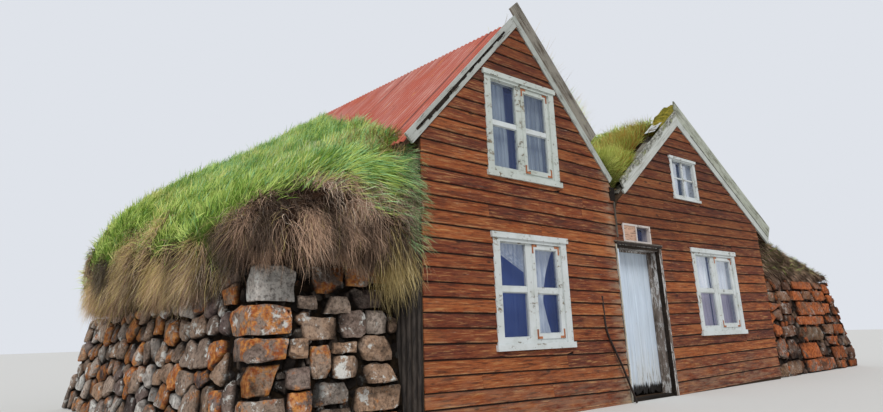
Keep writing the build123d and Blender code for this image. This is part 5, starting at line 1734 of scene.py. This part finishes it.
def opening(window, left, right, foot):
    """A window's left x, right x, top and foot, moved in by the given lengths."""
    low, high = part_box(window + "_window_sashes")
    return low.x + left, high.x - right, high.z - 0.01, low.z + foot


def curtains():
    x0, x1, top, foot = opening("lower", 0.03, 0.02, 0.10)
    tie = foot + 0.36
    rows = (
        (top, x0, x1 + 0.06),
        (top - 0.10, x0 + 0.08, x1 - 0.02),
        (tie + 0.24, x0 + 0.54, x1 - 0.14),
        (tie + 0.02, x0 + 0.665, x1 - 0.20),
        (tie - 0.04, x0 + 0.675, x1 - 0.215),
        (foot, x0 + 0.655, x1 - 0.11),
    )
    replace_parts(curtain("lower_curtain", rows, 9, 0.012, 1.0), "window_curtains")

    def hang(name, end, xs, end_xs, *look):
        """A cloth from the window's top, or from z = end[0], to z = end[-1]."""
        start = end[0] if len(end) > 1 else top
        curtain(name, ((start, *xs), (end[-1], *end_xs)), *look)

    def blind(name, past, end, shift, cloth, back):
        hang(name, (end,), (x0, x1 + past), (x0, x1 + past), 2, 0.004, shift, cloth, back)

    blind("lower_blind", 0.18, foot - 0.08, 7.0, BLIND, 0.11)
    x0, x1, top, foot = opening("upper", 0.03, 0.03, 0.02)
    hang("upper_curtain_left", (foot,), (x0, x0 + 0.35), (x0, x0 + 0.39), 7, 0.011, 2.0, CLOTH_DIM)
    xs, end_xs = (x0 + 0.60, x1 + 0.12), (x0 + 0.62, x1 + 0.10)
    hang("upper_curtain_right", (foot,), xs, end_xs, 6, 0.008, 3.0, CLOTH_DIM)
    blind("upper_blind", 0.18, foot, 8.0, BLIND_DUSK, 0.11)
    x0, x1, top, foot = opening("right", 0.03, 0.03, 0.02)
    half = (top + foot) / 2 - 0.01
    hang("right_curtain_left", (half,), (x0, x0 + 0.53), (x0, x0 + 0.56), 6, 0.006, 4.0, CLOTH_WHITE)
    xs, end_xs = (x0 + 0.60, x1 + 0.07), (x0 + 0.60, x1 + 0.09)
    hang("right_curtain_right", (half,), xs, end_xs, 6, 0.006, 5.0, CLOTH_WHITE)
    lining, xs = (half + 0.05, foot), (x0, x0 + 0.56)
    hang("right_lining", lining, xs, xs, 5, 0.004, 4.5, CLOTH_MAUVE, 0.03)
    xs = (x0 + 0.60, x1 + 0.13)
    hang("right_lining_far", lining, xs, xs, 5, 0.004, 5.5, CLOTH_MAUVE, 0.03)
    blind("right_blind", 0.16, foot, 10.5, BLIND_GREY, 0.10)
    x0, x1, top, foot = opening("attic", 0.02, 0.02, 0.01)
    xs, end_xs = (x0 + 0.20, x0 + 0.36), (x0 + 0.24, x0 + 0.35)
    hang("attic_curtain_left", (foot,), xs, end_xs, 2, 0.006, 9.0, CLOTH_WHITE)
    xs, end_xs = (x0 + 0.52, x1 + 0.10), (x0 + 0.56, x1 + 0.10)
    hang("attic_curtain", (foot,), xs, end_xs, 3, 0.008, 6.0, CLOTH_WHITE)
    blind("attic_blind", 0.12, foot, 9.5, BLIND_GREEN, 0.08)


curtains()

# The door and its surround

PLANKS = 7
PLANK_GAP = 0.0008
PLANK_EDGE = 0.004
PLANK_STEPS = 9
ROT_HIGH = 0.075


def door_planks():
    """Vertical boards with worn edges, their feet rotted ragged."""
    low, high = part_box("door_leaf")
    rng = dice("door_planks")
    wide = (high.x - low.x) / PLANKS
    door = Solids()
    for k in range(PLANKS):
        x0, x1 = low.x + wide * k + PLANK_GAP, low.x + wide * (k + 1) - PLANK_GAP
        warp = rng.uniform(0, 0.0035)
        rot = rng.random(PLANK_STEPS) ** 1.5
        feet = low.z + ROT_HIGH * rot * (1.0 if 0 < k < PLANKS - 1 else 0.6)
        feet[0] = feet[-1] = low.z + ROT_HIGH * 0.3
        points, faces = [], []
        for i, x in enumerate(np.linspace(x0, x1, PLANK_STEPS)):
            front = low.y + warp + (PLANK_EDGE if i in (0, PLANK_STEPS - 1) else 0.0)
            points += [(x, front, feet[i]), (x, front, high.z), (x, high.y, high.z), (x, high.y, feet[i])]
        for a in range(0, 4 * PLANK_STEPS - 4, 4):
            faces += [(a + j, a + (j + 1) % 4, a + (j + 1) % 4 + 4, a + j + 4) for j in range(4)]
        faces += [(0, 1, 2, 3), tuple(len(points) - 4 + j for j in (3, 2, 1, 0))]
        door.add(points, faces)
    made = door.piece("door_planks", DOOR_PAINT, "door_paint", body="door")
    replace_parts(made, "door_leaf")
    ledges = Solids()
    across = (low.x + 0.09, high.x - 0.05, high.y - 0.001, high.y + 0.021)
    for z in (low.z + 0.30, high.z - 0.40):
        ledges.box(*across, z + 0.05, z + 0.15, 0.004)
    ledges.piece("door_ledges", DOOR_PAINT, "door_paint", body="door")


door_planks()


NAIL_HALF = 0.004


def nailed_strip(name, finish, slot, x0, x1, y0, y1, z0, z1, nails=0):
    """A straight strip of wood or metal, with nail heads down its front."""
    strip = Solids()
    strip.box(x0, x1, y0, y1, z0, z1, 0.003)
    strip.piece(name, finish, slot)
    if nails:
        heads = Solids()
        x = (x0 + x1) / 2
        for k in range(nails):
            z = z0 + (z1 - z0) * (k + 0.5) / nails
            at = (x - NAIL_HALF, x + NAIL_HALF, y0 - 0.002, y0 + 0.002, z - NAIL_HALF, z + NAIL_HALF)
            heads.box(*at, 0.0015)
        heads.piece(name + "_nails", DARK_IRON, "dark_iron")


def door_surround():
    low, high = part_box("door_frame")
    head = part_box("door_head_strip")
    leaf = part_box("door_leaf")
    face, top, over, seam = low.y, high.z, head[1].z, JOIN + SEAM_STEP
    dark = (BLACK_WOOD_AND_SHADE, "rough_timber")
    grey = (GREY_WOOD, "grey_boards")
    hinge, free, upright = leaf[1].x, leaf[0].x, (0.0, top - 0.002)
    # Painted shade: a black strip for the dark gap at the door's hinge side.
    nailed_strip("door_gap_shade", *dark, hinge - 0.003, hinge + 0.020, face - 0.006, face + 0.045, *upright)
    x = (hinge + 0.0205, high.x + 0.020)
    nailed_strip("door_edge", JAMB_WOOD, "door_paint", *x, face - 0.010, FRONT, *upright, 14)
    x = (low.x + 0.001, low.x + 0.016)
    nailed_strip("door_left_edge", PALE_EDGE, "door_paint", *x, face - 0.010, FRONT, *upright, 11)
    x, y = (low.x + 0.0165, free - 0.003), (face - 0.004, face + 0.02)
    nailed_strip("door_left_paint", DOOR_PAINT, "door_paint", *x, *y, 0.03, top - 0.06)
    x, y = (low.x + 0.002, high.x - 0.031), (face - 0.006, face + 0.02)
    nailed_strip("door_head_dark", *dark, *x, *y, top - 0.046, top - 0.012)
    x = (low.x - 0.02, head[1].x + 0.02)
    nailed_strip("door_head_pale", *grey, *x, head[0].y + 0.004, FRONT, over + 0.0005, over + 0.016)
    x = (seam - 0.012, seam + 0.012)
    nailed_strip("seam_strip", *grey, *x, FRONT - 0.026, FRONT, over + 0.06, 2.34, 3)
    nailed_strip("seam_rot", *dark, JOIN - 0.010, seam + 0.03, FRONT - 0.024, FRONT, 2.345, 2.52)
    low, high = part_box("transom_frame")
    x, z = (low.x + 0.022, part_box("transom_glass")[0].x - 0.006), (low.z + 0.018, high.z - 0.018)
    nailed_strip("transom_board", PINK_BOARD, "white_paint", *x, FRONT - 0.015, FRONT - 0.001, *z)


door_surround()

# Camera, stage and light

PHOTO_WIDE = 883
PHOTO_HIGH = 412
FOCAL_PX = 642
CENTRE_ROW = 130
CAMERA_AT = (-8.335, -7.410, 0.835)
FLOOR_HALF = 60
YAW, PITCH, ROLL = radians(41.421), radians(17.436), radians(-1.608)


def camera():
    data = bpy.data.cameras.new("camera")
    ahead = Vector((sin(YAW) * cos(PITCH), cos(YAW) * cos(PITCH), sin(PITCH)))
    side = Vector((cos(YAW), -sin(YAW), 0))
    up = side.cross(ahead)
    right = side * cos(ROLL) + up * sin(ROLL)
    top = up * cos(ROLL) - side * sin(ROLL)
    made = placed("camera", data)
    turn = Matrix((right, top, -ahead)).transposed().to_4x4()
    made.matrix_world = Matrix.Translation(CAMERA_AT) @ turn
    data.sensor_width = 36
    data.lens = FOCAL_PX / PHOTO_WIDE * data.sensor_width
    data.shift_y = (CENTRE_ROW - PHOTO_HIGH / 2) / PHOTO_WIDE
    bpy.context.scene.camera = made


def stage():
    mesh = bpy.data.meshes.new("floor")
    mesh.from_pydata([(FLOOR_HALF * i, FLOOR_HALF * j, 0) for i, j in CORNERS], [], [(0, 1, 2, 3)])
    floor = placed("floor", mesh)
    floor.location.z = -0.002
    f = Finish("floor", rough=0.9, gloss=0.1)
    f.paint("d9d8d4")
    mesh.materials.append(f.material)


def sky():
    """Even pale light, with the background a pale grey that the lamps don't change."""
    world = bpy.data.worlds.new("world")
    world.use_nodes = True
    tree = world.node_tree
    light = tree.nodes["Background"]
    seen = tree.nodes.new("ShaderNodeBackground")
    for node, code, strength in ((light, "f1f4fa", 0.54), (seen, "dfe3ea", 1.0)):
        node.inputs["Color"].default_value = colour(code)
        node.inputs["Strength"].default_value = strength
    path = tree.nodes.new("ShaderNodeLightPath")
    share = path.outputs["Is Camera Ray"]
    for ray in ("Is Glossy Ray", "Is Transmission Ray"):
        either = tree.nodes.new("ShaderNodeMath")
        either.operation = "MAXIMUM"
        tree.links.new(share, either.inputs[0])
        tree.links.new(path.outputs[ray], either.inputs[1])
        share = either.outputs[0]
    mix = tree.nodes.new("ShaderNodeMixShader")
    for socket, source in zip(mix.inputs, (share, light.outputs[0], seen.outputs[0])):
        tree.links.new(source, socket)
    tree.links.new(mix.outputs[0], tree.nodes["World Output"].inputs[0])
    bpy.context.scene.world = world


def lamp(name, strength, spread, toward):
    """A soft sun shining along toward."""
    data = bpy.data.lights.new(name, "SUN")
    data.energy = strength
    data.angle = radians(spread)
    placed(name, data).rotation_euler = Vector(toward).to_track_quat("-Z", "Y").to_euler()


camera()
stage()
sky()
lamp("key", 1.95, 22, (0.52, 0.70, -0.92))
bpy.context.scene.view_settings.view_transform = "Standard"
